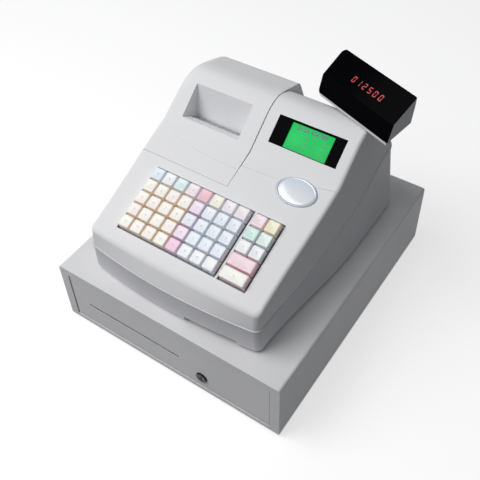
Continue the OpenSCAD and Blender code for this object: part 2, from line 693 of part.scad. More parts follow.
module lower_housing() color(LIGHT_GREY) difference() {
    union() {
        on_body() difference() {
            ring_loft([
                half_ring(reg_z0, function (y) reg_z0, 2),
                half_ring(reg_z0 + 2, function (y) reg_z0 + 2, 0.5),
                half_ring(seam_front_z, function (y) seam_z(y), 0)]);
            ring_loft([
                half_ring(reg_z0 + wall, function (y) reg_z0 + wall, 2 + wall),
                half_ring(seam_front_z + 6, function (y) seam_z(y) + 6, wall)]);
        }
        on_body() both_sides() for (y = boss_ys) lower_boss(y);
        for (x = [-1, 1], y = [printer_y0 + 10, printer_y1 - 20])
            translate([recess_x + x * (printer_w / 2 - 8), y, reg_z0])
                cylinder(h = printer_z0 - reg_z0, d = 8);
        for (x = board_xs, y = board_ys) translate([x, y, reg_z0]) cylinder(h = board_z0 - reg_z0, d = 7);
    }
    on_body() both_sides() for (y = boss_ys) {
        translate([boss_x(y), y, reg_z0 - 1]) cylinder(h = far, d = boss_hole_d);
        translate([boss_x(y), y, reg_z0 - 1]) cylinder(h = 1 + screw_sink, d = boss_d - 2);
    }
    on_body() both_sides() for (y = pad_ys) translate([pad_x, y, reg_z0 - 1])
        cylinder(h = 1 + pad_sink, d = pad_d + 2 * touch_gap);
    // Finger notch under the front edge
    block([notch_x0, -body_front - 1, reg_z0 - 1], [notch_x1, -body_front + 13, reg_z0 + notch_h]);
    // Openings for the mains inlet and the sockets in the rear wall
    wall_block(inlet_x, inlet_z, inlet_w, inlet_h, body_rear - 14, body_rear + 1);
    wall_block(socket_x, socket_z, socket_w, socket_h, body_rear - 14, body_rear + 1);
}
notch_x0 = 24;
notch_x1 = 101;
notch_h = 7;

module lower_boss(y) {
    translate([boss_x(y), y, reg_z0]) cylinder(h = boss_z(y) - touch_gap - reg_z0, d = boss_d);
    boss_rib(y, reg_z0 + wall / 2 + 4, boss_z(y) - 8);
}

screw_sink = 8;
module housing_screws() color(STEEL) on_body() for (s = [-1, 1], y = boss_ys)
    translate([s * boss_x(y), y, reg_z0 + screw_sink]) {
        mirror([0, 0, 1]) rotate_extrude() polygon([[0, 0], [3, 0], [3, 1.2], [1.6, 2.4], [0, 2.4]]);
        grip = s > 0 || y < cover_front ? 9 : -2;
        cylinder(h = boss_z(y) - reg_z0 - screw_sink + grip, d = boss_hole_d - 0.9);
    }

pad_d = 16;
pad_sink = 1.2;
pad_x = 112;
pad_ys = [-140, 132];
module register_feet() color(RUBBER) on_body() for (x = [-1, 1], y = pad_ys)
    translate([x * pad_x, y, case_z1]) rubber_foot(pad_d, pad_h + pad_sink - 0.01, pad_d - 4, 0.01);

// ---- Keyboard ----

bed_depth = key_travel + 2.6;
bed_t = 2;
mat_t = 1.4;
key_sink = 1;
stem_l = bed_depth + bed_t - key_sink - 0.2;
dome_h = key_travel + 0.5;
side_key_x = side_x0 + key_pitch / 2;
function key_v(row) = -key_v0 - row * key_pitch;
function main_key_x(col) = key_x0 + col * key_pitch;
main_places = [for (row = [0:4], col = [0:7]) [main_key_x(col), key_v(row)]];
side_places = concat(
    [for (row = [0:2], col = [0:1]) [side_key_x + col * key_pitch, key_v(row)]],
    [for (row = [3:4]) [side_key_x + key_pitch / 2, key_v(row)]]);
all_places = concat(main_places, side_places);

module key_bed() color(DARK_PLASTIC) on_panel() difference() {
    low = [main_x0 - bed_margin, key_v(4) - key_pitch / 2 - bed_margin];
    high = [side_x1 + bed_margin, key_v(0) + key_pitch / 2 + bed_margin];
    // A plate with a raised rim that meets the housing's inner side
    block([low.x, low.y, -bed_depth - bed_t], [high.x, high.y, -panel_t - 0.1]);
    block([low.x + bed_t, low.y + bed_t, -bed_depth], [high.x - bed_t, high.y - bed_t, 0]);
    for (p = all_places) translate([p.x, p.y, -bed_depth - bed_t - 1])
        cylinder(h = bed_t + 2, d = stem_d + 4 * run_gap);
}
bed_margin = 8;
panel_t = inner_drop * cos(panel_angle);

module key_mat() color(RUBBER) on_panel() {
    z1 = -bed_depth - bed_t - dome_h;
    block([main_x0 - bed_margin + 2, key_v(4) - key_pitch / 2 - bed_margin + 2, z1 - mat_t],
        [side_x1 + bed_margin - 2, key_v(0) + key_pitch / 2 + bed_margin - 2, z1]);
    for (p = all_places) translate([p.x, p.y, z1 - 0.01]) cylinder(h = 0.6, d1 = 10, d2 = 7);
    // Ribs that carry the mat under the bed between the key rows
    for (row = [0:5]) block([main_x0 - bed_margin + 2, key_v(row) + key_pitch / 2 - 0.6, z1 - 0.01],
        [side_x1 + bed_margin - 2, key_v(row) + key_pitch / 2 + 0.6, -bed_depth - bed_t]);
}

// A key cap with sloping sides, a dished top edge and its stem. wide: its width in key pitches
module key_cap(wide = 1) {
    foot_w = key_foot + (wide - 1) * key_pitch;
    cap_w = key_top + (wide - 1) * key_pitch;
    levels = [[foot_w, key_foot, -key_sink], [cap_w + 1, key_top + 1, key_rise - 0.9],
        [cap_w - 0.6, key_top - 0.6, key_rise]];
    corners = [for (l = levels) each [[-l[0], -l[1], 2 * l[2]] / 2, [l[0], -l[1], 2 * l[2]] / 2,
        [l[0], l[1], 2 * l[2]] / 2, [-l[0], l[1], 2 * l[2]] / 2]];
    sides = [for (j = [0, 4], i = [0:3]) [j + i, j + 4 + i, j + 4 + (i + 1) % 4, j + (i + 1) % 4]];
    polyhedron(corners, concat([[0, 1, 2, 3]], sides, [[11, 10, 9, 8]]));
    translate([0, 0, -key_sink - stem_l]) cylinder(h = stem_l + 1, d = stem_d);
}

module keys_at(places, wide = 1) on_panel() for (p = places) translate([p.x, p.y, 0]) key_cap(wide);
function main_block(rows, cols) = [for (row = rows, col = cols) [main_key_x(col), key_v(row)]];
module number_keys(row) color(ICE) keys_at(main_block([row], [5:7]));
module side_key(i) color(i == 1 ? CREAM : ICE) keys_at([side_places[i]]);

module oval_badge() color(BADGE_WHITE) on_panel() translate([badge_x, -badge_v, touch_gap / 3])
    resize([badge_w, badge_h, 0]) rotate_extrude($fn = 40)
        polygon([[0, 0], [20, 0], [20, 0.9], [19, 1.9], [17.6, 1.9], [17, 1.4], [0, 2]]);

// ---- Display ----

window_t = 2;
lcd_w = 62.5;
lcd_foot = 0.6;
lcd_top = 2.8;
lcd_drop = 1.3;
lcd_body_t = 9.4;
lcd_x = window_x + 2.4;
// A block under the window: x is its middle, w its width, low and high are distances from the window's edges
module window_block(x, w, low, high, z0, z1)
    block([x - w / 2, window_v + low, z0], [x + w / 2, window_v + window_h - high, z1]);
module display_window() color(GLASS_BLACK) on_face() difference() {
    window_block(window_x, window_w - touch_gap, touch_gap / 2, touch_gap / 2, -window_t, 0);
    window_block(lcd_x, lcd_w, lcd_foot, lcd_top, -window_t - 1, -window_t / 2);
}
module lcd_module() color(DOT_GREEN) on_face() {
    window_block(lcd_x, lcd_w - 2 * touch_gap, lcd_foot + touch_gap, lcd_top + touch_gap,
        -window_t - lcd_drop, -window_t / 2 - 0.1);
    window_block(window_x, window_w + 6, -3, 5, -window_t - lcd_body_t, -window_t - lcd_drop + 0.01);
}

// ---- Printer ----

printer_z0 = reg_z0 + 37;
printer_x0 = recess_x - printer_w / 2;
printer_x1 = recess_x + printer_w / 2;
plate_t = 2;
printer_y0 = -20;
printer_y1 = 125;
side_z = printer_z0 + 40;
arm_w = 24;
roll_y = 94;
roll_z = printer_z0 + 76;
platen_y = 32;
platen_z = printer_z0 + 67;
axle_d = 5;
spindle_d = 6;
gear_distance = gear_module * (platen_teeth + pinion_teeth) / 2;
pinion_y = platen_y - gear_distance * cos(45);
pinion_z = platen_z - gear_distance * sin(45);
motor_shaft_d = 2;
motor_d = 2 * gear_distance - platen_d - 1;

module printer_frame() color(ZINC) {
    block([printer_x0, printer_y0, printer_z0], [printer_x1, printer_y1, printer_z0 + plate_t]);
    for (x = [printer_x0, printer_x1 - plate_t]) difference() {
        side_plate(x, x + plate_t, [
            [printer_y0, printer_z0], [printer_y1, printer_z0], [printer_y1, side_z - 10],
            [roll_y + arm_w / 2, roll_z + 3], [roll_y - arm_w / 2, roll_z + 3],
            [roll_y - 16, side_z], [platen_y + 28, side_z], [platen_y + 20, platen_z + 8],
            [platen_y - 24, platen_z + 8], [printer_y0, side_z]]);
        rod_x(x - 1, x + plate_t + 1, platen_y, platen_z, axle_d + 2 * run_gap);
        rod_x(x - 1, x + plate_t + 1, roll_y, roll_z, spindle_d + 2 * run_gap);
        block([x - 1, roll_y - spindle_d / 2 - run_gap, roll_z],
            [x + plate_t + 1, roll_y + spindle_d / 2 + run_gap, roll_z + 10]);
        if (x > printer_x0) rod_x(x - 1, x + plate_t + 1, pinion_y, pinion_z, motor_shaft_d + 4 * run_gap);
    }
    // Print head bar in front of the platen, and a paper guide below it
    block([printer_x0 + plate_t, platen_y - platen_d / 2 - 13, platen_z + 1],
        [printer_x1 - plate_t, platen_y - platen_d / 2 - touch_gap, platen_z + 6]);
    block([printer_x0 + plate_t, platen_y + platen_d / 2 + 4, platen_z - 24],
        [printer_x1 - plate_t, platen_y + platen_d / 2 + 5.2, platen_z + 2]);
}

module feed_motor() color(STEEL) difference() {
    rod_x(printer_x1 - plate_t - 26, printer_x1 - plate_t, pinion_y, pinion_z, motor_d);
    rod_x(printer_x1 - plate_t - 20, printer_x1, pinion_y, pinion_z, motor_shaft_d + 2 * run_gap);
}

// A spur gear with involute flanks, its axis along X. turn: rotation that meshes it with its neighbour
backlash = 0.14;
function involute(base_r, r) = let (t = sqrt(max(pow(r / base_r, 2) - 1, 0))) t * 180 / PI - atan(t);
function flank_angle(teeth, r) = let (pitch_r = gear_module * teeth / 2, base_r = pitch_r * cos(20))
    90 / teeth - backlash / 2 / pitch_r * 180 / PI
        + involute(base_r, pitch_r) - involute(base_r, max(r, base_r));
module spur_gear(teeth, x0, x1, y, z, bore, turn) {
    pitch_r = gear_module * teeth / 2;
    radii = [for (k = [-1.2, -0.4, 0.3, 0.95]) pitch_r + k * gear_module];
    function flank(r, i, s) = let (a = 360 * i / teeth + s * flank_angle(teeth, r)) r * [cos(a), sin(a)];
    translate([x0, y, z]) rotate([turn, 0, 0]) rotate([90, 0, 90]) difference() {
        linear_extrude(x1 - x0) polygon([for (i = [0:teeth - 1]) each concat(
            [for (r = radii) flank(r, i, -1)], [for (j = [3:-1:0]) flank(radii[j], i, 1)])]);
        if (bore > 0) translate([0, 0, -1]) cylinder(h = x1 - x0 + 2, d = bore);
    }
}

gear_x0 = printer_x1 + 1;
gear_x1 = gear_x0 + 5;
module platen_roller() color(RUBBER) {
    rod_x(printer_x0 + plate_t + 1, printer_x1 - plate_t - 1, platen_y, platen_z, platen_d);
    rod_x(printer_x0 - 1, gear_x1 + 1, platen_y, platen_z, axle_d);
}
module platen_gear() color("ivory")
    spur_gear(platen_teeth, gear_x0, gear_x1, platen_y, platen_z, axle_d, 225);
module feed_pinion() color("gold") {
    spur_gear(pinion_teeth, gear_x0, gear_x1, pinion_y, pinion_z, 0, 45 + 180 / pinion_teeth);
    rod_x(printer_x1 - plate_t - 19, gear_x0 + 1, pinion_y, pinion_z, motor_shaft_d);
}

core_d = 14;
flange_d = 22;
module paper_roll() color(PAPER) difference() {
    rod_x(recess_x - roll_w / 2, recess_x + roll_w / 2, roll_y, roll_z, roll_d);
    rod_x(recess_x - roll_w / 2 - 1, recess_x + roll_w / 2 + 1, roll_y, roll_z, core_d);
}
module roll_spindle() color(DARK_PLASTIC) {
    rod_x(recess_x - roll_w / 2, recess_x + roll_w / 2, roll_y, roll_z, core_d);
    for (x = [recess_x - roll_w / 2 - 2, recess_x + roll_w / 2]) rod_x(x, x + 2, roll_y, roll_z, flange_d);
    rod_x(printer_x0 - 2, printer_x1 + 2, roll_y, roll_z, spindle_d);
}

// Side view of the ticket recess: its lip, the foot of its back wall and the top of that wall
lip = [8.2, face_z(8.2)];
foot = [39, face_z(8.2) - 18.2];
crest = [47.3, face_z(47.3)];
outward = [-sin(face_angle), cos(face_angle)] * 40;
paper_slot = 4;
skirt_h = 14;
skirt_ys = [for (i = [0:24]) mix(cover_front, hinge_y - 6, i / 24)];

module printer_cover() color(LIGHT_GREY) difference() {
    union() {
        intersection() {
            difference() {
                dressed_form(cover_line, seam_plus, seam_front_z, top_edge_r);
                dressed_form(cover_line, seam_low, seam_front_z - 6, 3, wall, inner_drop);
            }
            cover_share();
        }
        // Right wall, which reaches down beside the display housing
        side_plate(cover_right - wall, cover_right, concat(
            [for (y = skirt_ys) [y, cover_top(y) - wall / 2]],
            [for (i = [24:-1:0]) let (y = skirt_ys[i]) [y, max(housing_top(y) - skirt_h, cut_z(y))]]));
        side_plate(recess_x - recess_w / 2 - wall, recess_x + recess_w / 2 + wall, [
            lip + [-wall, -1.2 * wall], foot + [0, -1.2 * wall], foot + [wall, -wall / 2],
            [crest.x + wall, cover_top(crest.x + wall) - wall / 2],
            [lip.x - wall, cover_top(lip.x - wall) - wall / 2]]);
        for (x = knuckle_xs) cover_knuckle(x);
    }
    side_plate(recess_x - recess_w / 2, recess_x + recess_w / 2,
        [lip, foot, crest, crest + outward, lip + outward]);
    block([recess_x - recess_w / 2 + 3, foot.x - paper_slot, foot.y - 3 * wall],
        [recess_x + recess_w / 2 - 3, foot.x - 0.2, foot.y + paper_slot]);
    for (x = knuckle_xs) rod_x(x - 1, x + knuckle_l + 1, hinge_y, hinge_z, hinge_pin_d + 2 * run_gap);
}
knuckle_xs = [hinge_left + ear_t / 2 + touch_gap, hinge_right - ear_t / 2 - touch_gap - knuckle_l];
module cover_knuckle(x) {
    rod_x(x, x + knuckle_l, hinge_y, hinge_z, knuckle_d);
    side_plate(x, x + knuckle_l, [
        [hinge_y - knuckle_d / 2, hinge_z], [hinge_y + 1, hinge_z], [hinge_y + 1.5, hinge_z + 4],
        [hinge_y - 3, hinge_z + 8], [hinge_y - 9, cover_top(hinge_y - 9) - 1],
        [hinge_y - 12, cover_top(hinge_y - 9) - 4]]);
}

module tear_bar() color(STEEL) {
    teeth = 40;
    bar_w = recess_w - 8;
    slope = atan2(foot.y - lip.y, foot.x - lip.x);
    // A toothed strip that lies on the recess floor in front of the paper slot
    translate([recess_x, foot.x, foot.y]) rotate([slope, 0, 0]) translate([0, -paper_slot, 0.02])
        linear_extrude(0.8) polygon(concat(
            [[bar_w / 2, -14], [-bar_w / 2, -14]],
            [for (i = [0:2 * teeth]) [bar_w * (i / (2 * teeth) - 0.5), i % 2 == 0 ? -3.8 : -2.6]]));
}

// ---- Inner electrics ----

board_z0 = reg_z0 + 9;
board_xs = [10, 100];
board_ys = [-120, 20];
module main_board() color(BOARD_GREEN) {
    block([board_xs[0] - 8, board_ys[0] - 8, board_z0], [board_xs[1] + 8, board_ys[1] + 8, board_z0 + 1.6]);
    for (p = [[30, -90, 26, 26, 4], [62, -40, 34, 16, 4], [30, -20, 18, 40, 3], [85, -100, 14, 14, 16]])
        block([p[0], p[1], board_z0 + 1.6], [p[0] + p[2], p[1] + p[3], board_z0 + 1.6 + p[4]]);
    for (x = [52, 70, 88]) translate([x, 8, board_z0 + 1.6]) cylinder(h = 18, d = 10);
}

transformer = [66, 84];
module power_transformer() color(STEEL) translate([transformer.x, transformer.y, reg_z0 + wall]) {
    block([-36, -20, 0], [36, 20, 2]);
    difference() {
        block([-28, -20, 2], [28, 20, 44]);
        for (s = [-1, 1]) block([min(s * 9, s * 19), -21, 11], [max(s * 9, s * 19), 21, 35]);
    }
    block([-17, -28, 11.5], [17, 28, 34.5]);
}

inlet_x = 96;
inlet_rise = 30;
inlet_z = reg_z0 + inlet_rise;
inlet_w = 46;
inlet_h = 20;
fit_gap = 0.8;
rocker_y = body_rear + 0.6;
rocker_x = inlet_x - 14;
module mains_inlet() color(DARK_PLASTIC) difference() {
    union() {
        wall_block(inlet_x, inlet_z, inlet_w + 6, inlet_h + 6, body_rear, body_rear + 2.5);
        wall_block(inlet_x, inlet_z, inlet_w - fit_gap, inlet_h - fit_gap, body_rear - 24, body_rear);
    }
    difference() {
        block([inlet_x - 4, body_rear - 18, inlet_z - 8], [inlet_x + 20, body_rear + 3, inlet_z + 8]);
        for (x = [1, 8, 15]) block([inlet_x + x - 1, body_rear - 19, inlet_z - 2],
            [inlet_x + x + 1, body_rear - 6, inlet_z + (x == 8 ? 5 : 2)]);
    }
    block([rocker_x - 6.3, body_rear - 12, inlet_z - 9], [rocker_x + 6.3, body_rear + 3, inlet_z + 9]);
    rod_x(rocker_x - 8, rocker_x + 8, rocker_y - 5, inlet_z, rocker_pin_d + 2 * run_gap);
}
rocker_pin_d = 3;
rocker_tilt = 8;
module power_switch() color("black") translate([rocker_x, rocker_y - 5, inlet_z])
    rotate([rocker_tilt, 0, 0]) {
        side_plate(-6, 6, [[-3, -4], [-3, 4], [3, 7.9], [6.6, 7.7], [5.4, 0], [6.6, -7.7], [3, -7.9]]);
        rod_x(-7.8, 7.8, 0, 0, rocker_pin_d);
    }

socket_x = 30;
socket_z = reg_z0 + 26;
socket_w = 60;
socket_h = 18;
module socket_panel() color(DARK_PLASTIC) difference() {
    union() {
        wall_block(socket_x, socket_z, socket_w + 4, socket_h + 4, body_rear, body_rear + 1.5);
        wall_block(socket_x, socket_z, socket_w - fit_gap, socket_h - fit_gap, body_rear - 16, body_rear);
    }
    for (x = [-20, 0, 20]) block([socket_x + x - 6, body_rear - 13, socket_z - 4],
        [socket_x + x + 6, body_rear + 3, socket_z + 4.5]);
}

// ---- Customer display ----

socket_z0 = ridge_z - 34;
socket_z1 = ridge_z + 3;
module head_socket() color(LIGHT_GREY) difference() {
    union() {
        translate([post_x, post_y, socket_z0]) cylinder(h = socket_z1 - socket_z0, d = post_d + 5.2);
        translate([post_x, post_y, socket_z1 - 4.5]) cylinder(h = 3, d1 = post_d + 8, d2 = post_d + 5.2);
    }
    translate([post_x, post_y, socket_z0 + 3]) cylinder(h = far, d = post_d + 2 * run_gap);
    translate([post_x, post_y, socket_z0 - 1]) cylinder(h = 10, d = post_d - 8);
}

// End view of the head: depth from its lower front edge, and height above it
head_front = [[0, 0], [6.4, 25.2], [40.3, 51]];
head_back = [[41, 39], [38, 13], [6.7, 1]];
head_rim = 3;
upper_slope = atan2(head_front[2].y - head_front[1].y, head_front[2].x - head_front[1].x);
head_z = ridge_z + head_gap;
post_depth = 20;
module in_head() translate([post_x, post_y, head_z]) rotate([0, 0, head_turn])
    translate([0, -post_depth, 0]) children();

// What rounds a left corner of the head: a block less a cylinder, both square to one of the front faces
module corner_cut(at, angle, top) translate([-head_left, at.x, at.y]) rotate([angle, 0, 0]) difference() {
    block([-1, top ? -head_corner_r : -1, -far / 8], [head_corner_r, top ? 1 : head_corner_r, far / 20]);
    translate([head_corner_r, top ? -head_corner_r : head_corner_r, -far / 4])
        cylinder(h = far, r = head_corner_r);
}
module head_form(outline) difference() {
    side_plate(-head_left, head_right, outline);
    corner_cut(head_front[2] + [1, 0.6], upper_slope, true);
    corner_cut(head_front[0] + [-0.7, -head_rim], atan2(head_front[1].y, head_front[1].x), false);
}

module head_shell() color(BEIGE_GREY) {
    in_head() difference() {
        head_form(concat([
            [-0.7, -head_rim], [0, 0], [lens_t, touch_gap / 3], head_front[1] + [lens_t, -1],
            head_front[2] + [1, -lens_t]], head_back, [[7, -head_rim]]));
        side_plate(-head_left + 2 * wall, head_right - wall, [
            head_front[0] + [-5, 3.4], head_front[1] + [-5, 0], head_front[2] + [-8, 1],
            head_front[2] + [-3, -4.2], head_back[0] + [-wall, 2], head_back[1] + [-wall, 1],
            head_back[2] + [0, wall]]);
    }
    translate([post_x, post_y, socket_z0 + 3 + touch_gap]) difference() {
        cylinder(h = head_z + 14 - socket_z0 - 3 - touch_gap, d = post_d);
        translate([0, 0, -1]) cylinder(h = head_z - socket_z0, d = post_d - 8);
    }
}

module head_lens() color(GLASS_BLACK) in_head() head_form([
    head_front[0] + [0, touch_gap / 3], head_front[1], head_front[2],
    head_front[2] + [1, -lens_t + touch_gap / 3], head_front[1] + [lens_t - touch_gap / 3, -1],
    head_front[0] + [lens_t - touch_gap / 3, 2 * touch_gap / 3]]);

digit_w = 9;
digit_h = 17;
digit_pitch = 11;
module digit_board() color(BOARD_GREEN) in_head() translate([0, head_front[1].x, head_front[1].y])
    rotate([upper_slope, 0, 0]) {
        block([-head_left + 2 * wall + touch_gap, 4, -9], [head_right - wall - touch_gap, 31.5, -7.4]);
        for (i = [0:7]) let (x = -46 + i * digit_pitch)
            block([x, 9, -7.41], [x + digit_w, 9 + digit_h, -lens_t - 0.6]);
    }

drawer_case();
drawer_base();
drawer_feet();
case_rails();
latch_unit();
latch_hook();
drawer_box();
drawer_front();
drawer_glides();
till_tray();
coin_tray();
clip_rod();
note_clip(0);  // note_clip_1
note_clip(1);  // note_clip_2
note_clip(2);  // note_clip_3
note_clip(3);  // note_clip_4
lock_body();
lock_barrel();
lower_housing();
upper_housing();
register_feet();
housing_screws();
key_bed();
key_mat();
display_window();
lcd_module();
oval_badge();
printer_frame();
feed_motor();
feed_pinion();
platen_roller();
platen_gear();
paper_roll();
roll_spindle();
printer_cover();
tear_bar();
main_board();
power_transformer();
mains_inlet();
power_switch();
socket_panel();
head_socket();
head_shell();
head_lens();
digit_board();
color(CREAM) keys_at(main_block([0], [0:7]));  // function_keys
color(CREAM) keys_at(main_block([1:4], [0:3]));  // department_keys
color(PALE_PINK) keys_at(main_block([1:4], [4]));  // clerk_keys
number_keys(1);  // number_keys_1
number_keys(2);  // number_keys_2
number_keys(3);  // number_keys_3
number_keys(4);  // number_keys_4
side_key(0);  // side_key_1
side_key(1);  // side_key_2
side_key(2);  // side_key_3
side_key(3);  // side_key_4
side_key(4);  // side_key_5
side_key(5);  // side_key_6
color(PALE_PINK) keys_at([side_places[6]], 2);  // wide_key_1
color(CREAM) keys_at([side_places[7]], 2);  // wide_key_2
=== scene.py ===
"""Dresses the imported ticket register: moulded housings, keys, screens, drawer and their finishes."""

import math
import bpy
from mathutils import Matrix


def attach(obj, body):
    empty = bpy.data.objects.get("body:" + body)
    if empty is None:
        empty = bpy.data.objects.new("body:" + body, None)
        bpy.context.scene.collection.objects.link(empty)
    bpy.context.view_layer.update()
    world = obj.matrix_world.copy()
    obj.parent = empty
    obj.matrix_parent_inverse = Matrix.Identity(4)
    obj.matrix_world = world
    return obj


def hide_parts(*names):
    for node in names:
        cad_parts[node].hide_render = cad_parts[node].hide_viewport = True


bl_info = {
    "name": "Ticket Register Dressing",
    "version": (1, 0, 0),
    "blender": (4, 5, 0),
    "location": "View3D > Sidebar > Register",
    "description": "Builds the visible pieces and the finishes of a ticket register on its cash drawer",
    "category": "Object",
}

import bmesh
import bpy
from bpy.props import BoolProperty, FloatProperty, FloatVectorProperty, IntProperty, PointerProperty
from bpy.types import Operator, Panel, PropertyGroup
from mathutils import Matrix, Vector

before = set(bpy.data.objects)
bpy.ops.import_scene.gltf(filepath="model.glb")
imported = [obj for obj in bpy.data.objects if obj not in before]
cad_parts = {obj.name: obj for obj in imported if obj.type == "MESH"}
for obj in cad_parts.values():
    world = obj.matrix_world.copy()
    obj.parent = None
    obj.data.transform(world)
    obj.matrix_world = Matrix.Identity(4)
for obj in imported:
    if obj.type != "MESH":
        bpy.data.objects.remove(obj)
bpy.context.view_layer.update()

MM = 0.001

# ---------------------------------------------------------------- sizes, in millimetres

BODY_X, BODY_W, BODY_TAPER, TOP_W, TOP_TAPER = -2, 305, 18, 274, 4.8
BODY_FRONT, BODY_REAR, FRONT_BOW, FRONT_LEAN = 187, 163, 10.5, 9.5
FRONT_CORNER, REAR_CORNER, TOP_EDGE, WALL = 10, 22, 5, 2.6
INNER_DROP = WALL * 1.2
SEAM_GAP = 0.5
FOOT_Z = 113
PANEL_ANGLE, FACE_ANGLE = 20.6, 39.4
CREASE_Y, CREASE_Z = 1.65, FOOT_Z + 136.5
RIDGE_Z = FOOT_Z + 182.5
SEAM_FRONT_Z, SEAM_REAR_Z = FOOT_Z + 43, FOOT_Z + 103
HINGE_Y, HINGE_Z = BODY_REAR - 11, SEAM_REAR_Z + 11
FRONT_TOP_Z = CREASE_Z - math.tan(math.radians(PANEL_ANGLE)) * (BODY_FRONT - FRONT_LEAN + CREASE_Y)
COVER_RIGHT, COVER_FRONT, COVER_GAP, COVER_EDGE = 2, -51, 0.6, 18
KNUCKLE_D, HINGE_PIN_D, EAR_T, KNUCKLE_L = 9, 4, 5, 10
SEAM_FLARE, GROOVE_W, GROOVE_DEPTH, RIM_PROUD = 1.1, 0.9, 0.9, 1.2
# The styling arcs: middle, half width, lowest place along the slope and rise at the half width
HOUSING_ARC, COVER_ARC = (0, 136, -22.5, 19.5), (-15, 116, -30.4, 15.4)
TAIL_IN, TAIL_OUT, TAIL_DROP = 7.4, 5, 4.4
HINGE_LEFT, HINGE_RIGHT = BODY_X - (TOP_W / 2 - 26), COVER_RIGHT - 10
RECESS_X, RECESS_W, PAPER_SLOT, SKIRT_H = -66.5, 92, 4, 14
POST_X, POST_Y, POST_D = 117, 93, 24
HEAD_Z, HEAD_TURN, HEAD_SETBACK = 302, -21, 20
KEY_PITCH, KEY_FOOT, KEY_TOP, KEY_RISE, KEY_SINK = 19, 18, 15.3, 8, 1
KEY_X0, KEY_V0, BLOCK_GAP, WELL_GAP, BED_DEPTH = -89.2, 82.6, 6.5, 1.8, 5.6
SIDE_X0 = KEY_X0 + 7.5 * KEY_PITCH + BLOCK_GAP
SKIRT_RINGS = 5
BADGE_X, BADGE_V, BADGE_W, BADGE_H = 88, 25.7, 57, 39
WINDOW_X, WINDOW_W, WINDOW_H = 69.5, 98.8, 39
WINDOW_V = (RIDGE_Z - CREASE_Z) / math.sin(math.radians(FACE_ANGLE)) - 12 - WINDOW_H
LCD_X, LCD_W, LCD_FOOT, LCD_TOP = WINDOW_X + 2.4, 62.5, 0.9, 3.1
CASE_W, CASE_D, CASE_Z0, CASE_Z1, SHEET, CASE_BEND = 360, 411, 4, 109, 1.5, 4
OPENING_W, OPENING_Z0, OPENING_Z1 = 331, 11.5, 96.5
FASCIA_Y0, FASCIA_T, FASCIA_GAP = -204.5, 3, 1.0
SLOT_X, SLOT_W, SLOT_Z, SLOT_H = -57, 158, 51, 2.4
LOCK_X, LOCK_Z, LOCK_D = 59, 33, 15.6
DIGIT_X0, DIGIT_V0, DIGIT_PITCH, DIGIT_W, DIGIT_H = -27.5, 13.2, 9.6, 5.0, 8.6
DIGIT_BAR, DIGIT_GAP, DIGIT_SLANT = 1.1, 0.25, 0.12
FOCAL_LENGTH, SENSOR_W = 55.35225, 36
FAR = 500


def tilted(angle):
    """Frame on a sloping surface: X right, Y up the slope, Z out of it."""
    return Matrix.Translation((0, CREASE_Y, CREASE_Z)) @ Matrix.Rotation(math.radians(angle), 4, "X")


ON_PANEL, ON_FACE = tilted(PANEL_ANGLE), tilted(FACE_ANGLE)
IN_HEAD = (Matrix.Translation((POST_X, POST_Y, HEAD_Z)) @ Matrix.Rotation(math.radians(HEAD_TURN), 4, "Z")
           @ Matrix.Translation((0, -HEAD_SETBACK, 0)))
ON_BODY = Matrix.Translation((BODY_X, 0, 0))

# ---------------------------------------------------------------- outline of the register


def clamp01(t):
    return min(1.0, max(0.0, t))


def ease(t):
    return (1 - math.cos(math.pi * clamp01(t))) / 2


def soft_min(a, b, k):
    return min(a, b) - (max(k - abs(a - b), 0) / k) ** 2 * k / 4


def soft_max(a, b, k):
    return -soft_min(-a, -b, k)


def mix(a, b, t):
    return a + (b - a) * t


def sloped(y, angle):
    return CREASE_Z + math.tan(math.radians(angle)) * (y - CREASE_Y)


def crown_z(y):
    return soft_min(soft_max(sloped(y, PANEL_ANGLE), sloped(y, FACE_ANGLE), 1), RIDGE_Z, 14)


def housing_top(y):
    return soft_min(crown_z(y), RIDGE_Z - 0.9 * (y - 90), 20)


def cover_top(y):
    crest = soft_min(crown_z(y), RIDGE_Z - 0.30 * (y - 79), 4)
    return soft_min(crest, HINGE_Z + 4.5 + 2.45 * (HINGE_Y - 3 - y), 9)


def cover_edge(y):
    """Rounding of the cover's side edge, fuller towards its ridge."""
    return mix(TOP_EDGE, COVER_EDGE, ease((y + 5) / 75))


def seam_line(y):
    points = [(-95, SEAM_FRONT_Z), (45, SEAM_FRONT_Z + 33), (85, SEAM_FRONT_Z + 51), (115, SEAM_REAR_Z)]
    if y <= points[0][0]:
        return points[0][1]
    for (y0, z0), (y1, z1) in zip(points, points[1:]):
        if y <= y1:
            return mix(z0, z1, (y - y0) / (y1 - y0))
    return points[-1][1]


def seam_z(y):
    return (seam_line(y - 12) + seam_line(y) + seam_line(y + 12)) / 3


def cut_z(y):
    return SEAM_REAR_Z + 6.5 + 0.088 * (y - HINGE_Y)


def wall_x(y, z):
    return mix(BODY_W / 2 - BODY_TAPER * ease((40 - y) / 220), TOP_W / 2 - TOP_TAPER * ease((10 - y) / 180),
               (z - FOOT_Z) / (housing_top(y) - FOOT_Z))


def front_part(z):
    return clamp01((z - SEAM_FRONT_Z) / (FRONT_TOP_Z - SEAM_FRONT_Z))


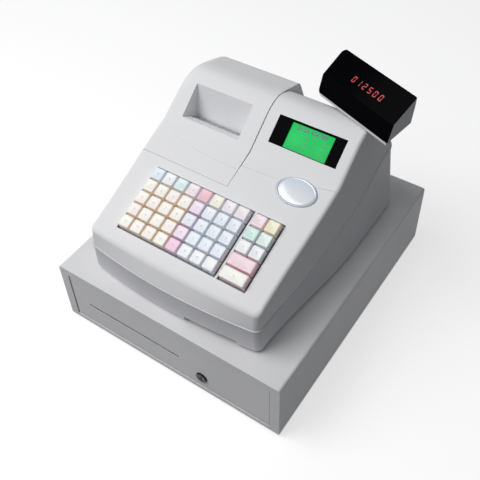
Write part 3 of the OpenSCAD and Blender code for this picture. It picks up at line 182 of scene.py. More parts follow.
def half_ring(front_level, level, inset, fine):
    """Right half of a ring round the body, with fine steps along its side.

    level and inset give its height and inset at each depth."""
    corner_steps = max(6, fine // 12)
    front_inset, rear_inset = inset(-BODY_FRONT), inset(BODY_REAR)
    r1, r2 = max(FRONT_CORNER - front_inset, 3), max(REAR_CORNER - rear_inset, 3)
    y0 = -BODY_FRONT + FRONT_LEAN * front_part(front_level) + front_inset
    bow = mix(FRONT_BOW, FRONT_BOW / 3, front_part(front_level))
    y2 = BODY_REAR - rear_inset - r2
    w1 = wall_x(y0 + FRONT_BOW + r1, front_level) - front_inset
    w2 = wall_x(y2, level(y2)) - rear_inset
    x1, tip = w1 - r1, math.radians(80)
    end_x = x1 + r1 * math.cos(tip)
    y1 = y0 + bow * (end_x / w1) ** 2 + r1 * math.sin(tip)
    ring = [(end_x * i / 16, y0 + bow * (end_x * i / 16 / w1) ** 2) for i in range(16)]
    for i in range(corner_steps + 1):
        a = tip * (i / corner_steps - 1)
        ring.append((x1 + r1 * math.cos(a), y1 + r1 * math.sin(a)))
    for i in range(1, fine + 1):
        y = mix(y1, y2, i / fine)
        ring.append((wall_x(y, level(y)) - inset(y), y))
    for i in range(1, corner_steps + 1):
        a = math.pi / 2 * i / corner_steps
        ring.append((w2 - r2 + r2 * math.cos(a), y2 + r2 * math.sin(a)))
    return [(x, y, level(y)) for x, y in ring]


# ---------------------------------------------------------------- solids


def solid(name, points, faces, placed=None):
    """A mesh object from points in millimetres."""
    placed = placed or Matrix.Identity(4)
    mesh = bpy.data.meshes.new(name)
    mesh.from_pydata([(placed @ Vector(p)) * MM for p in points], [], faces)
    bm = bmesh.new()
    bm.from_mesh(mesh)
    bmesh.ops.recalc_face_normals(bm, faces=bm.faces)
    bm.to_mesh(mesh)
    bm.free()
    piece = bpy.data.objects.new(name, mesh)
    bpy.context.scene.collection.objects.link(piece)
    return piece


def ring_loft(name, halves, placed=None):
    """A closed solid through rings of equal length, with strips across its two ends."""
    n = len(halves[0])
    m = 2 * n - 1
    points, faces = [], []
    for half in halves:
        points += half + [(-x, y, z) for x, y, z in half[:0:-1]]
    for j in range(len(halves) - 1):
        for i in range(m):
            a, b = j * m + i, j * m + (i + 1) % m
            faces += [(a, b, b + m), (a, b + m, a + m)]
    top = m * (len(halves) - 1)
    for i in range(n - 1):
        strip = [i, i + 1, (m - i - 1) % m] + ([(m - i) % m] if i else [])
        faces += [tuple(reversed(strip)), tuple(v + top for v in strip)]
    return solid(name, points, faces, placed)


def same(value):
    return lambda y: value


def dressed_form(name, top_line, base_line, base_front, edge, inset=0.0, drop=0.0, fine=130, steps=7):
    """The outer form from a base line up to a top edge rounded as edge says, under the given top line."""
    halves = [half_ring(base_front, base_line, same(inset), fine)]
    for step in range(steps + 1):
        a = math.pi / 2 * step / steps
        down, back = 1 - math.sin(a), 1 - math.cos(a)
        halves.append(half_ring(
            FRONT_TOP_Z - drop - edge(-BODY_FRONT) * down, lambda y: top_line(y) - drop - edge(y) * down,
            lambda y: inset + edge(y) * back, fine))
    return ring_loft(name, halves, ON_BODY)


def block(low, high, placed=None):
    (x0, y0, z0), (x1, y1, z1) = low, high
    points = [(x, y, z) for x in (x0, x1) for y in (y0, y1) for z in (z0, z1)]
    faces = [(0, 1, 3, 2), (4, 6, 7, 5), (0, 4, 5, 1), (2, 3, 7, 6), (0, 2, 6, 4), (1, 5, 7, 3)]
    return solid("block", points, faces, placed)


def prism_faces(n):
    """The two ends and the sides of a prism whose outline has n points."""
    return [tuple(range(n)), tuple(range(2 * n - 1, n - 1, -1))] + ring_faces(2, n)


def ring_faces(rings, n):
    """The quads between neighbouring rings of n points each."""
    return [(j * n + i, j * n + (i + 1) % n, (j + 1) * n + (i + 1) % n, (j + 1) * n + i)
            for j in range(rings - 1) for i in range(n)]


def side_plate(x0, x1, outline, placed=None):
    """A side-view outline, as depth and height, carried from x0 to x1."""
    return solid("plate", [(x, y, z) for x in (x0, x1) for y, z in outline], prism_faces(len(outline)), placed)


def front_plate(y0, y1, outline):
    """A front-view outline, as X and height, carried from y0 to y1."""
    return solid("plate", [(x, y, z) for y in (y0, y1) for x, z in outline], prism_faces(len(outline)))


def case_outline(w, z0, z1, r, arc=8):
    """Section of the folded case sheet: square below, rounded above."""
    turns = [math.pi / 2 * i / arc for i in range(arc + 1)]
    right = [(w / 2 - r + r * math.cos(a), z1 - r + r * math.sin(a)) for a in turns]
    return [(-w / 2, z0), (w / 2, z0)] + right + [(-x, z) for x, z in reversed(right)]


def rod(axis, start, length, across, d, sides=40):
    """A round bar along X, Y or Z. across: its place in the two other directions, in their order."""
    points, order = [], "XYZ".index(axis)
    for end in (start, start + length):
        for i in range(sides):
            a = 2 * math.pi * i / sides
            p = [across[0] + d / 2 * math.cos(a), across[1] + d / 2 * math.sin(a)]
            p.insert(order, end)
            points.append(p)
    return solid("rod", points, prism_faces(sides))


def settle(piece):
    """Turns the piece's modifiers into its mesh."""
    bpy.context.view_layer.update()
    mesh = bpy.data.meshes.new_from_object(piece.evaluated_get(bpy.context.evaluated_depsgraph_get()))
    piece.modifiers.clear()
    piece.data = mesh
    return piece


def combine(piece, tools, operation="DIFFERENCE"):
    """Cuts the tools out of the piece, adds them to it or keeps what they share, and removes them."""
    for tool in tools:
        step = piece.modifiers.new(operation, "BOOLEAN")
        step.operation, step.object, step.solver = operation, tool, "MANIFOLD"
        settle(piece)
        bpy.data.objects.remove(tool)
        if not piece.data.polygons:
            raise RuntimeError(f"{piece.name} came out empty")
    return piece


def measured(bm):
    """Volume, area and corners of a mesh once its faces are cut into triangles."""
    copy = bm.copy()
    bmesh.ops.triangulate(copy, faces=copy.faces)
    size = copy.calc_volume(), sum(face.calc_area() for face in copy.faces)
    spread = [f(v.co[i] for v in copy.verts) for f in (min, max) for i in range(3)]
    copy.free()
    return (*size, spread)


def bevelled(bm, width, sharp_angle, segments):
    """A copy with rounded sharp edges, or None where the rounding would fold or spike the mesh."""
    copy = bm.copy()
    edges = [e for e in copy.edges if len(e.link_faces) == 2 and e.calc_face_angle(0) > math.radians(sharp_angle)]
    bmesh.ops.bevel(copy, geom=edges, offset=width * MM, segments=segments, profile=0.6, affect="EDGES",
                    clamp_overlap=False, loop_slide=True)
    (volume0, area0, spread0), (volume1, area1, spread1) = measured(bm), measured(copy)
    grown = max([a - b for a, b in zip(spread0[:3], spread1[:3])] + [b - a for a, b in zip(spread0[3:], spread1[3:])])
    if grown < 2e-5 and area1 < area0 * 1.004 and abs(volume1 - volume0) < abs(volume0) * 0.03:
        return copy
    copy.free()
    return None


def ease_edges(piece, width, sharp_angle=32, segments=2):
    """Joins flat faces, rounds the sharp edges by width in millimetres and sets smooth shading."""
    bm = bmesh.new()
    bm.from_mesh(piece.data)
    bmesh.ops.remove_doubles(bm, verts=bm.verts, dist=2e-6)
    bmesh.ops.dissolve_degenerate(bm, edges=bm.edges, dist=2e-6)
    bmesh.ops.dissolve_limit(bm, angle_limit=math.radians(0.02), verts=bm.verts, edges=bm.edges)
    for share in (1.0, 0.6, 0.35):
        rounded = bevelled(bm, width * share, sharp_angle, segments) if width else None
        if rounded:
            bm.free()
            bm = rounded
            break
    bm.to_mesh(piece.data)
    bm.free()
    return soften(piece, sharp_angle)


def forget_shading(mesh):
    for layer in list(mesh.attributes):
        if layer.name in ("custom_normal", "sharp_edge", "sharp_face"):
            mesh.attributes.remove(layer)


def soften(piece, sharp_angle=32):
    """Smooth shading that follows the large faces and stops at sharp edges."""
    forget_shading(piece.data)
    for polygon in piece.data.polygons:
        polygon.use_smooth = True
    piece.data.set_sharp_from_angle(angle=math.radians(sharp_angle))
    weigh = piece.modifiers.new("even_normals", "WEIGHTED_NORMAL")
    weigh.keep_sharp = True
    weigh.weight = 80
    return settle(piece)


def cad_copy(node, name, width, sharp_angle=32):
    """A piece with the shape of a CAD node and eased edges."""
    piece = bpy.data.objects.new(name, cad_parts[node].data.copy())
    bpy.context.scene.collection.objects.link(piece)
    piece.data.materials.clear()
    forget_shading(piece.data)
    return ease_edges(piece, width, sharp_angle)


def place(piece, body, slot, *nodes, material=None):
    """Seats a piece on its body in place of its CAD nodes."""
    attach(piece, body)
    if nodes:
        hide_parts(*nodes)
    if material is not None:
        piece.data.materials.clear()
        piece.data.materials.append(material)
    return piece


def paint(material, *nodes):
    """Gives CAD nodes a finish."""
    for node in nodes:
        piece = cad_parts[node]
        if piece.material_slots:
            for held in piece.material_slots:
                held.material = material
        else:
            piece.data.materials.append(material)


# ---------------------------------------------------------------- shader maths


class Wire:
    """One socket of a finish. Arithmetic on it adds Math nodes."""

    def __init__(self, finish, socket):
        self.finish, self.socket = finish, socket

    def maths(self, operation, *terms, clamp=False):
        return self.finish.node("ShaderNodeMath", {"operation": operation, "use_clamp": clamp},
                                dict(enumerate(terms)))

    def __add__(self, other):
        return self.maths("ADD", self, other)

    __radd__ = __add__

    def __sub__(self, other):
        return self.maths("SUBTRACT", self, other)

    def __rsub__(self, other):
        return self.maths("SUBTRACT", other, self)

    def __mul__(self, other):
        return self.maths("MULTIPLY", self, other)

    __rmul__ = __mul__

    def __truediv__(self, other):
        return self.maths("DIVIDE", self, other)

    def __gt__(self, other):
        return self.maths("GREATER_THAN", self, other)

    def __lt__(self, other):
        return self.maths("LESS_THAN", self, other)

    def __abs__(self):
        return self.maths("ABSOLUTE", self)

    def clamp(self):
        return self.maths("ADD", self, 0.0, clamp=True)

    def step(self, low, high):
        """0 below low, 1 above high and smooth between them."""
        return self.finish.node("ShaderNodeMapRange", {"interpolation_type": "SMOOTHSTEP"},
                                {"Value": self, "From Min": low, "From Max": high})


class Finish:
    """A material and the nodes that make it."""

    def __init__(self, name):
        self.material = bpy.data.materials.new(name)
        self.material.use_nodes = True
        self.tree = self.material.node_tree
        self.tree.nodes.clear()
        self.output = self.tree.nodes.new("ShaderNodeOutputMaterial")

    def node(self, kind, settings=None, inputs=None, output=0):
        """Adds a node: settings first, then the values or wires of its sockets."""
        made = self.tree.nodes.new(kind)
        for key, value in (settings or {}).items():
            if key == "stops":
                for index, (position, colour) in enumerate(value):
                    ramp = made.color_ramp.elements
                    stop = ramp[index] if index < 2 else ramp.new(position)
                    stop.position, stop.color = position, colour
            else:
                setattr(made, key, value)
        for key, value in (inputs or {}).items():
            if isinstance(value, Wire):
                self.tree.links.new(value.socket, made.inputs[key])
            else:
                made.inputs[key].default_value = value
        return Wire(self, made.outputs[output])

    def spot(self):
        """Place on the piece, in metres."""
        return self.node("ShaderNodeTexCoord", output="Object")

    def along(self, direction, offset=0.0):
        """Distance along a direction, in millimetres."""
        return self.node("ShaderNodeVectorMath", {"operation": "DOT_PRODUCT"},
                         {0: self.spot(), 1: [c / MM for c in direction]}, output="Value") - offset

    def stretched(self, scale):
        return self.node("ShaderNodeMapping", {"vector_type": "POINT"}, {"Vector": self.spot(), "Scale": scale})

    def noise(self, size, detail=2.0, rough=0.5, at=None):
        """Soft noise from 0 to 1 with spots of the given size in millimetres."""
        return self.node("ShaderNodeTexNoise", None, {
            "Vector": at or self.spot(), "Scale": 1 / (size * MM), "Detail": detail, "Roughness": rough})

    def specks(self, size, share, seed=0.0):
        """Sparse small spots: 1 in a share of the cells of the given size."""
        shifted = self.node("ShaderNodeVectorMath", {"operation": "ADD"}, {0: self.spot(), 1: (seed, seed, seed)})
        cells = self.node("ShaderNodeTexVoronoi", {"feature": "F1"},
                          {"Vector": shifted, "Scale": 1 / (size * MM)}, output="Color")
        pick = self.node("ShaderNodeSeparateColor", None, {"Color": cells})
        near = self.node("ShaderNodeTexVoronoi", {"feature": "F1"}, {"Vector": shifted, "Scale": 1 / (size * MM)})
        return (pick < share) * (near < 0.045)

    def blend(self, factor, a, b, mode="MIX"):
        """Colour a where factor is 0 and b where it is 1."""
        return self.node("ShaderNodeMix", {"data_type": "RGBA", "blend_type": mode},
                         {0: factor, 6: a, 7: b}, output=2)

    def bump(self, height, depth, strength=1.0, onto=None):
        """A relief of the given depth in millimetres."""
        inputs = {"Height": height, "Distance": depth * MM, "Strength": strength}
        if onto is not None:
            inputs["Normal"] = onto
        return self.node("ShaderNodeBump", None, inputs)

    def surface(self, **sockets):
        """Closes the finish with one Principled surface. Socket names use _ for a space."""
        names = {"colour": "Base Color", "glow": "Emission Color"}
        inputs = {names.get(k, k.replace("_", " ").title().replace("Ior", "IOR")): v for k, v in sockets.items()}
        shader = self.node("ShaderNodeBsdfPrincipled", None, inputs)
        self.tree.links.new(shader.socket, self.output.inputs["Surface"])
        return self.material


def rgb(red, green, blue):
    """A linear colour from 0 to 255 display values."""
    return (*(c / 255 / 12.92 if c <= 10 else ((c / 255 + 0.055) / 1.055) ** 2.4 for c in (red, green, blue)), 1.0)


def toned(colour, gain):
    return tuple(min(1.0, c * gain) for c in colour[:3]) + (1.0,)


def moulded(name, colour, grain=0.5, relief=0.02, roughness=0.5, specular=0.4, dust=0.35, painted_slot_shade=None):
    """Injection-moulded plastic with a spark-eroded grain, faint flow marks and a little dust in its low places.

    Its last argument: the middle and half size, in X and Z, of a slot whose inner faces get painted shade, a near-black
    colour that stands in for the shade inside the slot."""
    f = Finish(name)
    coarse, fine = f.noise(grain, 3, 0.6), f.noise(grain * 0.35, 2, 0.5)
    flow = f.noise(60, 3, 0.55)
    marks = f.noise(9, 4, 0.65).step(0.5, 0.75)
    tint = f.blend(flow.step(0.3, 0.7), toned(colour, 0.975), toned(colour, 1.02))
    tint = f.blend(coarse * 0.10, tint, toned(colour, 0.90))
    tint = f.blend(f.specks(14, 0.10) * dust, tint, toned(colour, 0.75))
    # Painted shade: the faces inside the slot are coloured near-black to stand in for the shade in the slot.
    if painted_slot_shade:
        x, z, half_w, half_h = painted_slot_shade
        inside = (abs(f.along((1, 0, 0), x)) < half_w) * (abs(f.along((0, 0, 1), z)) < half_h)
        tint = f.blend(inside, tint, rgb(22, 22, 24))
    return f.surface(colour=tint, roughness=(roughness + (coarse - 0.5) * 0.10 + marks * 0.05).clamp(),
                     specular_ior_level=specular, normal=f.bump(coarse * 0.65 + fine * 0.35, relief, 0.55))


def powder_coat(name, colour):
    """Sheet steel under a fine orange-peel coat, rubbed a little brighter where hands and notes pass."""
    f = Finish(name)
    peel, grit = f.noise(1.6, 2, 0.5), f.noise(0.35, 2, 0.6)
    cloud = f.noise(90, 3, 0.5)
    tint = f.blend(cloud.step(0.3, 0.7), toned(colour, 0.97), toned(colour, 1.02))
    tint = f.blend(grit.step(0.62, 0.8) * 0.12, tint, toned(colour, 0.8))
    tint = f.blend(f.specks(22, 0.12, 0.3) * 0.4, tint, toned(colour, 0.6))
    return f.surface(colour=tint, roughness=(0.42 + (peel - 0.5) * 0.16).clamp(), specular_ior_level=0.25,
                     normal=f.bump(peel * 0.7 + grit * 0.3, 0.05, 0.5))


def zinc_plate(name, colour=rgb(190, 193, 197), brushed=(1, 1, 1), size=7.0):
    """Zinc-plated sheet: pale spangles of differing grey with fine rolling lines."""
    f = Finish(name)
    spangle = f.node("ShaderNodeTexVoronoi", {"feature": "F1"}, {"Vector": f.spot(), "Scale": 1 / (size * MM)},
                     output="Color")
    tone = f.node("ShaderNodeSeparateColor", None, {"Color": spangle})
    lines = f.noise(1.2, 3, 0.6, f.stretched(brushed))
    tint = f.blend(tone * 0.6 + lines * 0.3, toned(colour, 0.80), toned(colour, 1.12))
    tint = f.blend(f.noise(30, 4, 0.7).step(0.58, 0.8) * 0.35, tint, toned(colour, 0.62))
    return f.surface(colour=tint, metallic=0.9, roughness=(0.30 + tone * 0.14 + lines * 0.10).clamp(),
                     normal=f.bump(lines, 0.01, 0.5))


def bright_metal(name, colour, roughness=0.18, lines=(1, 40, 40)):
    """Turned or polished metal with fine machining lines and small scuffs."""
    f = Finish(name)
    cut = f.noise(2.0, 3, 0.6, f.stretched(lines))
    scuff = f.noise(3, 5, 0.75).step(0.60, 0.72)
    tint = f.blend(cut * 0.5 + scuff * 0.4, colour, toned(colour, 0.72))
    return f.surface(colour=tint, metallic=1.0, roughness=(roughness + cut * 0.10 + scuff * 0.18).clamp(),
                     normal=f.bump(cut, 0.006, 0.4))


def rubber(name, colour=rgb(30, 30, 32)):
    """Matt black rubber with a bloom of pale dust."""
    f = Finish(name)
    grain = f.noise(0.5, 3, 0.6)
    bloom = f.noise(12, 4, 0.6).step(0.45, 0.8)
    tint = f.blend(bloom * 0.5, colour, toned(colour, 2.6))
    return f.surface(colour=tint, roughness=(0.78 + grain * 0.15).clamp(), specular_ior_level=0.25,
                     normal=f.bump(grain, 0.04, 0.6))


def smoked_acrylic(name, colour=rgb(5, 5, 7)):
    """Polished dark acrylic with faint wipe marks."""
    f = Finish(name)
    wipes = f.noise(18, 4, 0.6, f.stretched((1, 3, 3)))
    dust = f.specks(5, 0.08)
    tint = f.blend(dust * 0.15, colour, rgb(90, 90, 96))
    tint = f.blend(wipes.step(0.5, 0.8) * 0.2, tint, rgb(14, 14, 18))
    return f.surface(colour=tint, roughness=(0.10 + wipes.step(0.45, 0.8) * 0.10 + dust * 0.3).clamp(),
                     ior=1.05)


def board_green(name):
    """Circuit board: solder mask over copper tracks, with pads."""
    f = Finish(name)
    tracks = f.node("ShaderNodeTexBrick", {"offset": 0.37, "squash": 1.6, "squash_frequency": 3}, {
        "Vector": f.spot(), "Color1": (1, 1, 1, 1), "Color2": (1, 1, 1, 1), "Mortar": (0, 0, 0, 1),
        "Scale": 110.0, "Mortar Size": 0.035, "Mortar Smooth": 0.1, "Brick Width": 0.9, "Row Height": 0.32},
        output="Fac")
    pads = f.node("ShaderNodeTexVoronoi", {"feature": "F1"}, {"Vector": f.spot(), "Scale": 210.0}) < 0.16
    tint = f.blend(tracks, rgb(22, 92, 52), rgb(40, 128, 74))
    tint = f.blend(pads, tint, rgb(196, 196, 190))
    return f.surface(colour=tint, roughness=(0.35 + f.noise(4, 3) * 0.2 - pads * 0.15).clamp(), metallic=pads * 0.8,
                     normal=f.bump(tracks * 0.5 + pads * 0.5, 0.05, 0.6))


def thermal_paper(name):
    """Paper roll: wound edges at the ends and a faint fibre on the outside."""
    f = Finish(name)
    y = f.along((0, 1, 0), 94.0)
    z = f.along((0, 0, 1), 226.0)
    radius = (y * y + z * z).maths("SQRT", y * y + z * z)
    windings = f.node("ShaderNodeTexNoise", {"noise_dimensions": "1D"}, {"W": radius, "Scale": 4.0, "Detail": 3.0},
                      output=0)
    fibre = f.noise(0.6, 4, 0.7, f.stretched((0.3, 1, 1)))
    tint = f.blend(windings.step(0.35, 0.7) * 0.5, rgb(245, 244, 238), rgb(212, 210, 204))
    return f.surface(colour=f.blend(fibre * 0.15, tint, rgb(225, 222, 214)), roughness=(0.7 + fibre * 0.15).clamp(),
                     specular_ior_level=0.3, normal=f.bump(windings * 0.6 + fibre * 0.4, 0.03, 0.5))


def cap_plastic(name):
    """Key caps: a tinted insert under clear plastic, with the tint painted on the mesh."""
    f = Finish(name)
    tint = f.node("ShaderNodeAttribute", {"attribute_name": "cap_tint"}, output="Color")
    wear = f.noise(5, 4, 0.6).step(0.5, 0.8)
    grain = f.noise(0.35, 2, 0.5)
    cloud = f.noise(17, 2, 0.5)
    shade = f.blend(wear * 0.16, tint, (0.82, 0.80, 0.76, 1), "MULTIPLY")
    shade = f.blend(cloud.step(0.4, 0.6) * 0.10, shade, (0.90, 0.90, 0.93, 1), "MULTIPLY")
    return f.surface(colour=shade, roughness=(0.30 + wear * 0.16 + grain * 0.05).clamp(), coat_weight=0.25,
                     coat_roughness=0.15, normal=f.bump(grain, 0.01, 0.4))


def dot_screen(name, lit):
    """Back-lit liquid crystal: a fine grid of dots over a green that is brighter in the middle."""
    f = Finish(name)
    u = f.along((1, 0, 0), LCD_X)
    v = f.along((0, math.cos(math.radians(FACE_ANGLE)), math.sin(math.radians(FACE_ANGLE))),
                CREASE_Y * math.cos(math.radians(FACE_ANGLE)) + CREASE_Z * math.sin(math.radians(FACE_ANGLE))
                + WINDOW_V + WINDOW_H / 2)
    dot = 0.45
    cell_u, cell_v = (u / dot).maths("FRACT", u / dot), (v / dot).maths("FRACT", v / dot)
    grid = ((cell_u < 0.12) + (cell_v < 0.12)).clamp()
    glow = f.noise(26, 2, 0.5)
    edge = ((u * u) / 1000 + (v * v) / 380).step(0.2, 1.3)
    tint = f.blend(glow.step(0.3, 0.7), toned(lit, 0.9), toned(lit, 1.1))
    tint = f.blend(edge * 0.5, tint, toned(lit, 0.75))
    tint = f.blend(grid * 0.25, tint, toned(lit, 0.7))
    return f.surface(colour=tint, glow=tint, emission_strength=0.30, specular_ior_level=0.08,
                     roughness=(0.25 + glow * 0.1).clamp())


def screen_ink(name, colour):
    """Dark crystal dots, a little uneven."""
    f = Finish(name)
    tint = f.blend(f.noise(0.8, 2).step(0.35, 0.65), colour, toned(colour, 1.5))
    return f.surface(colour=tint, roughness=(0.3 + f.noise(2, 2) * 0.1).clamp())


def lamp_segment(name, colour, strength):
    """Lit bars of a numeric display, hotter towards the middle of each bar."""
    f = Finish(name)
    tint = f.blend(f.noise(1.5, 2).step(0.3, 0.7), toned(colour, 0.75), colour)
    return f.surface(colour=tint, glow=tint, emission_strength=strength, roughness=(0.25 + f.noise(2, 2) * 0.1).clamp())


# ---------------------------------------------------------------- settings


def colour_setting(name, description, default):
    return FloatVectorProperty(name=name, description=description, subtype="COLOR", size=4, min=0, max=1,
                               default=default)


class HousingSettings(PropertyGroup):
    plastic: colour_setting("Housing colour", "Colour of the two housings and the cover", rgb(223, 223, 227))
    eased: FloatProperty(name="Eased edges", description="Rounding of the cut edges, in millimetres", default=0.35,
                         min=0, max=1)
    fine: IntProperty(name="Side steps", description="Steps along each side of the housings", default=130, min=40,
                      max=240)


class KeySettings(PropertyGroup):
    corner: FloatProperty(name="Corner radius", description="Radius of a cap's corners, in millimetres", default=1.2,
                          min=0.5, max=4)
    dish: FloatProperty(name="Dish", description="Depth of the hollow in a cap's top, in millimetres", default=0.55,
                        min=0, max=1.5)
    figures: BoolProperty(name="Figures", description="Print plain figures and signs on the caps", default=True)


class ScreenSettings(PropertyGroup):
    lit: colour_setting("Screen colour", "Colour of the back-lit screen", rgb(0, 200, 92))
    digits: colour_setting("Digit colour", "Colour of the customer display's digits", rgb(196, 10, 8))
    digit_glow: FloatProperty(name="Digit glow", description="Strength of the digits' light", default=0.2, min=0,
                              max=4)


class DrawerSettings(PropertyGroup):
    case: colour_setting("Case colour", "Colour of the drawer case", rgb(231, 231, 233))
    fascia: colour_setting("Front colour", "Colour of the drawer front", rgb(234, 234, 236))
    till: colour_setting("Till colour", "Colour of the till tray", rgb(46, 46, 49))


class StageSettings(PropertyGroup):
    floor: colour_setting("Floor colour", "Colour of the floor as the camera sees it", rgb(255, 255, 255))
    key_power: FloatProperty(name="Main light", description="Power of the large light above", subtype="POWER",
                             unit="POWER", default=26.5, min=0)
    fill: FloatProperty(name="Fill", description="Strength of the even light from all round", default=0.19, min=0,
                        max=2)


SETTINGS = {"register_housing": HousingSettings, "register_keys": KeySettings, "register_screens": ScreenSettings,
            "register_drawer": DrawerSettings, "register_stage": StageSettings}

# ---------------------------------------------------------------- housings


def housing_finish(name="housing_plastic", gain=1.0):
    held = bpy.data.materials.get(name)
    return held or moulded(name, toned(bpy.context.scene.register_housing.plastic, gain))


def hinge_ear(x):
    """An ear on the ledge behind the printer, with its pin."""
    ledge, side = HINGE_Z - KNUCKLE_D / 2 - COVER_GAP, 1 if x < -50 else -1
    reach = EAR_T / 2 + 10.3
    return [
        side_plate(x - EAR_T / 2, x + EAR_T / 2, [
            (HINGE_Y - KNUCKLE_D / 2, HINGE_Z), (HINGE_Y - KNUCKLE_D / 2, ledge - 1),
            (HINGE_Y + KNUCKLE_D / 2, ledge - 1), (HINGE_Y + KNUCKLE_D / 2, HINGE_Z)]),
        rod("X", x - EAR_T / 2 + 0.01, EAR_T - 0.02, (HINGE_Y, HINGE_Z), KNUCKLE_D - 0.02),
        rod("X", min(x, x + side * reach), reach, (HINGE_Y, HINGE_Z), HINGE_PIN_D)]


def key_well(x0, x1):
    return block((x0 - WELL_GAP, -KEY_V0 - 4.5 * KEY_PITCH - WELL_GAP, -BED_DEPTH),
                 (x1 + WELL_GAP, -KEY_V0 + KEY_PITCH / 2 + WELL_GAP, 50), ON_PANEL)


def styling_groove(x0, x1, middle, half, low, rise, steps=60):
    """A cutter for the fine arc across the panel. low: its lowest place along the slope, rise: its rise at half."""
    points = []
    for i in range(steps + 1):
        x = mix(x0, x1, i / steps)
        v = low + rise * ((x - middle) / half) ** 2
        points += [(x, v - GROOVE_W / 2, -GROOVE_DEPTH), (x, v + GROOVE_W / 2, -GROOVE_DEPTH),
                   (x, v + GROOVE_W / 2, 3), (x, v - GROOVE_W / 2, 3)]
    faces = [(0, 1, 2, 3), tuple(4 * steps + i for i in (3, 2, 1, 0))]
    return solid("groove", points, faces + ring_faces(steps + 1, 4), ON_PANEL)


class REGISTER_OT_upper_housing(Operator):
    """Moulds the upper housing with its key wells, display opening and printer bay"""

    bl_idname = "register.upper_housing"
    bl_label = "Upper housing"

    def execute(self, context):
        settings = context.scene.register_housing
        shell = dressed_form("upper_housing_shell", housing_top, lambda y: seam_z(y) + SEAM_GAP,
                             SEAM_FRONT_Z + SEAM_GAP, same(TOP_EDGE), fine=settings.fine)
        hollow = dressed_form("hollow", housing_top, lambda y: seam_z(y) - 6, SEAM_FRONT_Z - 6, same(TOP_EDGE - 2),
                              WALL, INNER_DROP, settings.fine // 3)
        wall_right = COVER_RIGHT + COVER_GAP
        ledge = HINGE_Z - KNUCKLE_D / 2 - COVER_GAP
        combine(hollow, [
            block((wall_right, COVER_FRONT - COVER_GAP - WALL, FOOT_Z), (wall_right + WALL, 250, FAR)),
            block((-250, COVER_FRONT - COVER_GAP - WALL, FOOT_Z + 60),
                  (wall_right + 0.01, COVER_FRONT - COVER_GAP, FAR)),
            block((-250, HINGE_Y - 3.4 - WALL, ledge - WALL), (wall_right + 0.01, 250, ledge))])
        bay = side_plate(-250, wall_right, [
            (COVER_FRONT - COVER_GAP, cut_z(COVER_FRONT) - COVER_GAP), (HINGE_Y - 3.4, cut_z(HINGE_Y) - COVER_GAP),
            (HINGE_Y - 3.4, ledge), (HINGE_Y + KNUCKLE_D / 2 + 0.8, ledge),
            (HINGE_Y + KNUCKLE_D / 2 + 0.8, HINGE_Z + 2.5), (250, HINGE_Z + 2.5), (250, FAR),
            (COVER_FRONT - COVER_GAP, FAR)])
        combine(shell, [
            hollow, bay, key_well(KEY_X0 - KEY_PITCH / 2, KEY_X0 + 7.5 * KEY_PITCH),
            key_well(SIDE_X0, SIDE_X0 + 2 * KEY_PITCH),
            block((WINDOW_X - WINDOW_W / 2, WINDOW_V, -25), (WINDOW_X + WINDOW_W / 2, WINDOW_V + WINDOW_H, 50),
                  ON_FACE),
            rod("Z", RIDGE_Z - 40, 80, (POST_X, POST_Y), POST_D + 6, 64),
            side_plate(-FAR, -FOOT_Z - 60, [
                (COVER_FRONT - COVER_GAP, wall_right - 0.2), (CREASE_Y, wall_right + SEAM_FLARE),
                (250, wall_right + SEAM_FLARE), (250, wall_right - 0.2)], Matrix.Rotation(math.radians(90), 4, "Y"))])
        combine(shell, hinge_ear(HINGE_LEFT) + hinge_ear(HINGE_RIGHT), "UNION")
        ease_edges(shell, settings.eased)
        combine(shell, [styling_groove(0, BODY_X + TOP_W / 2 + 20, *HOUSING_ARC)])
        soften(shell)
        place(shell, "base", "housing_plastic", "upper_housing", material=housing_finish())
        return {"FINISHED"}


class REGISTER_OT_lower_housing(Operator):
    """Moulds the lower housing with its finger notch and the openings in its rear wall"""

    bl_idname = "register.lower_housing"
    bl_label = "Lower housing"

    def execute(self, context):
        settings = context.scene.register_housing
        fine = settings.fine
        tub = ring_loft("lower_housing_shell", [
            *[half_ring(FOOT_Z + up, same(FOOT_Z + up), same(inset), fine)
              for up, inset in ((0, 2), (0.6, 1.1), (2, 0.5))],
            *[half_ring(SEAM_FRONT_Z - down, lambda y, down=down: seam_z(y) - down, same(-proud), fine)
              for down, proud in ((3.2, 0), (2.4, RIM_PROUD), (0.4, RIM_PROUD), (0, RIM_PROUD - 0.3))]], ON_BODY)
        hollow = ring_loft("hollow", [
            half_ring(FOOT_Z + WALL, same(FOOT_Z + WALL), same(2 + WALL), fine // 3),
            half_ring(SEAM_FRONT_Z + 6, lambda y: seam_z(y) + 6, same(WALL), fine // 3)], ON_BODY)
        feet = [rod("Z", FOOT_Z - 1, 2.2, (BODY_X + x * 112, y), 16.6) for x in (-1, 1) for y in (-140, 132)]
        combine(tub, [
            hollow, *feet, block((24, -BODY_FRONT - 1, FOOT_Z - 1), (101, -BODY_FRONT + 13, FOOT_Z + 7)),
            block((73, BODY_REAR - 14, 133), (119, BODY_REAR + 1, 153)),
            block((0, BODY_REAR - 14, 130), (60, BODY_REAR + 1, 148))])
        ease_edges(tub, settings.eased)
        # Painted shade: the lower housing takes a darker copy (0.93) of the housing plastic to stand in for the shade
        # on its walls.
        place(tub, "base", "housing_plastic", "lower_housing", material=housing_finish("tub_plastic_painted_shade", 0.93))
        return {"FINISHED"}


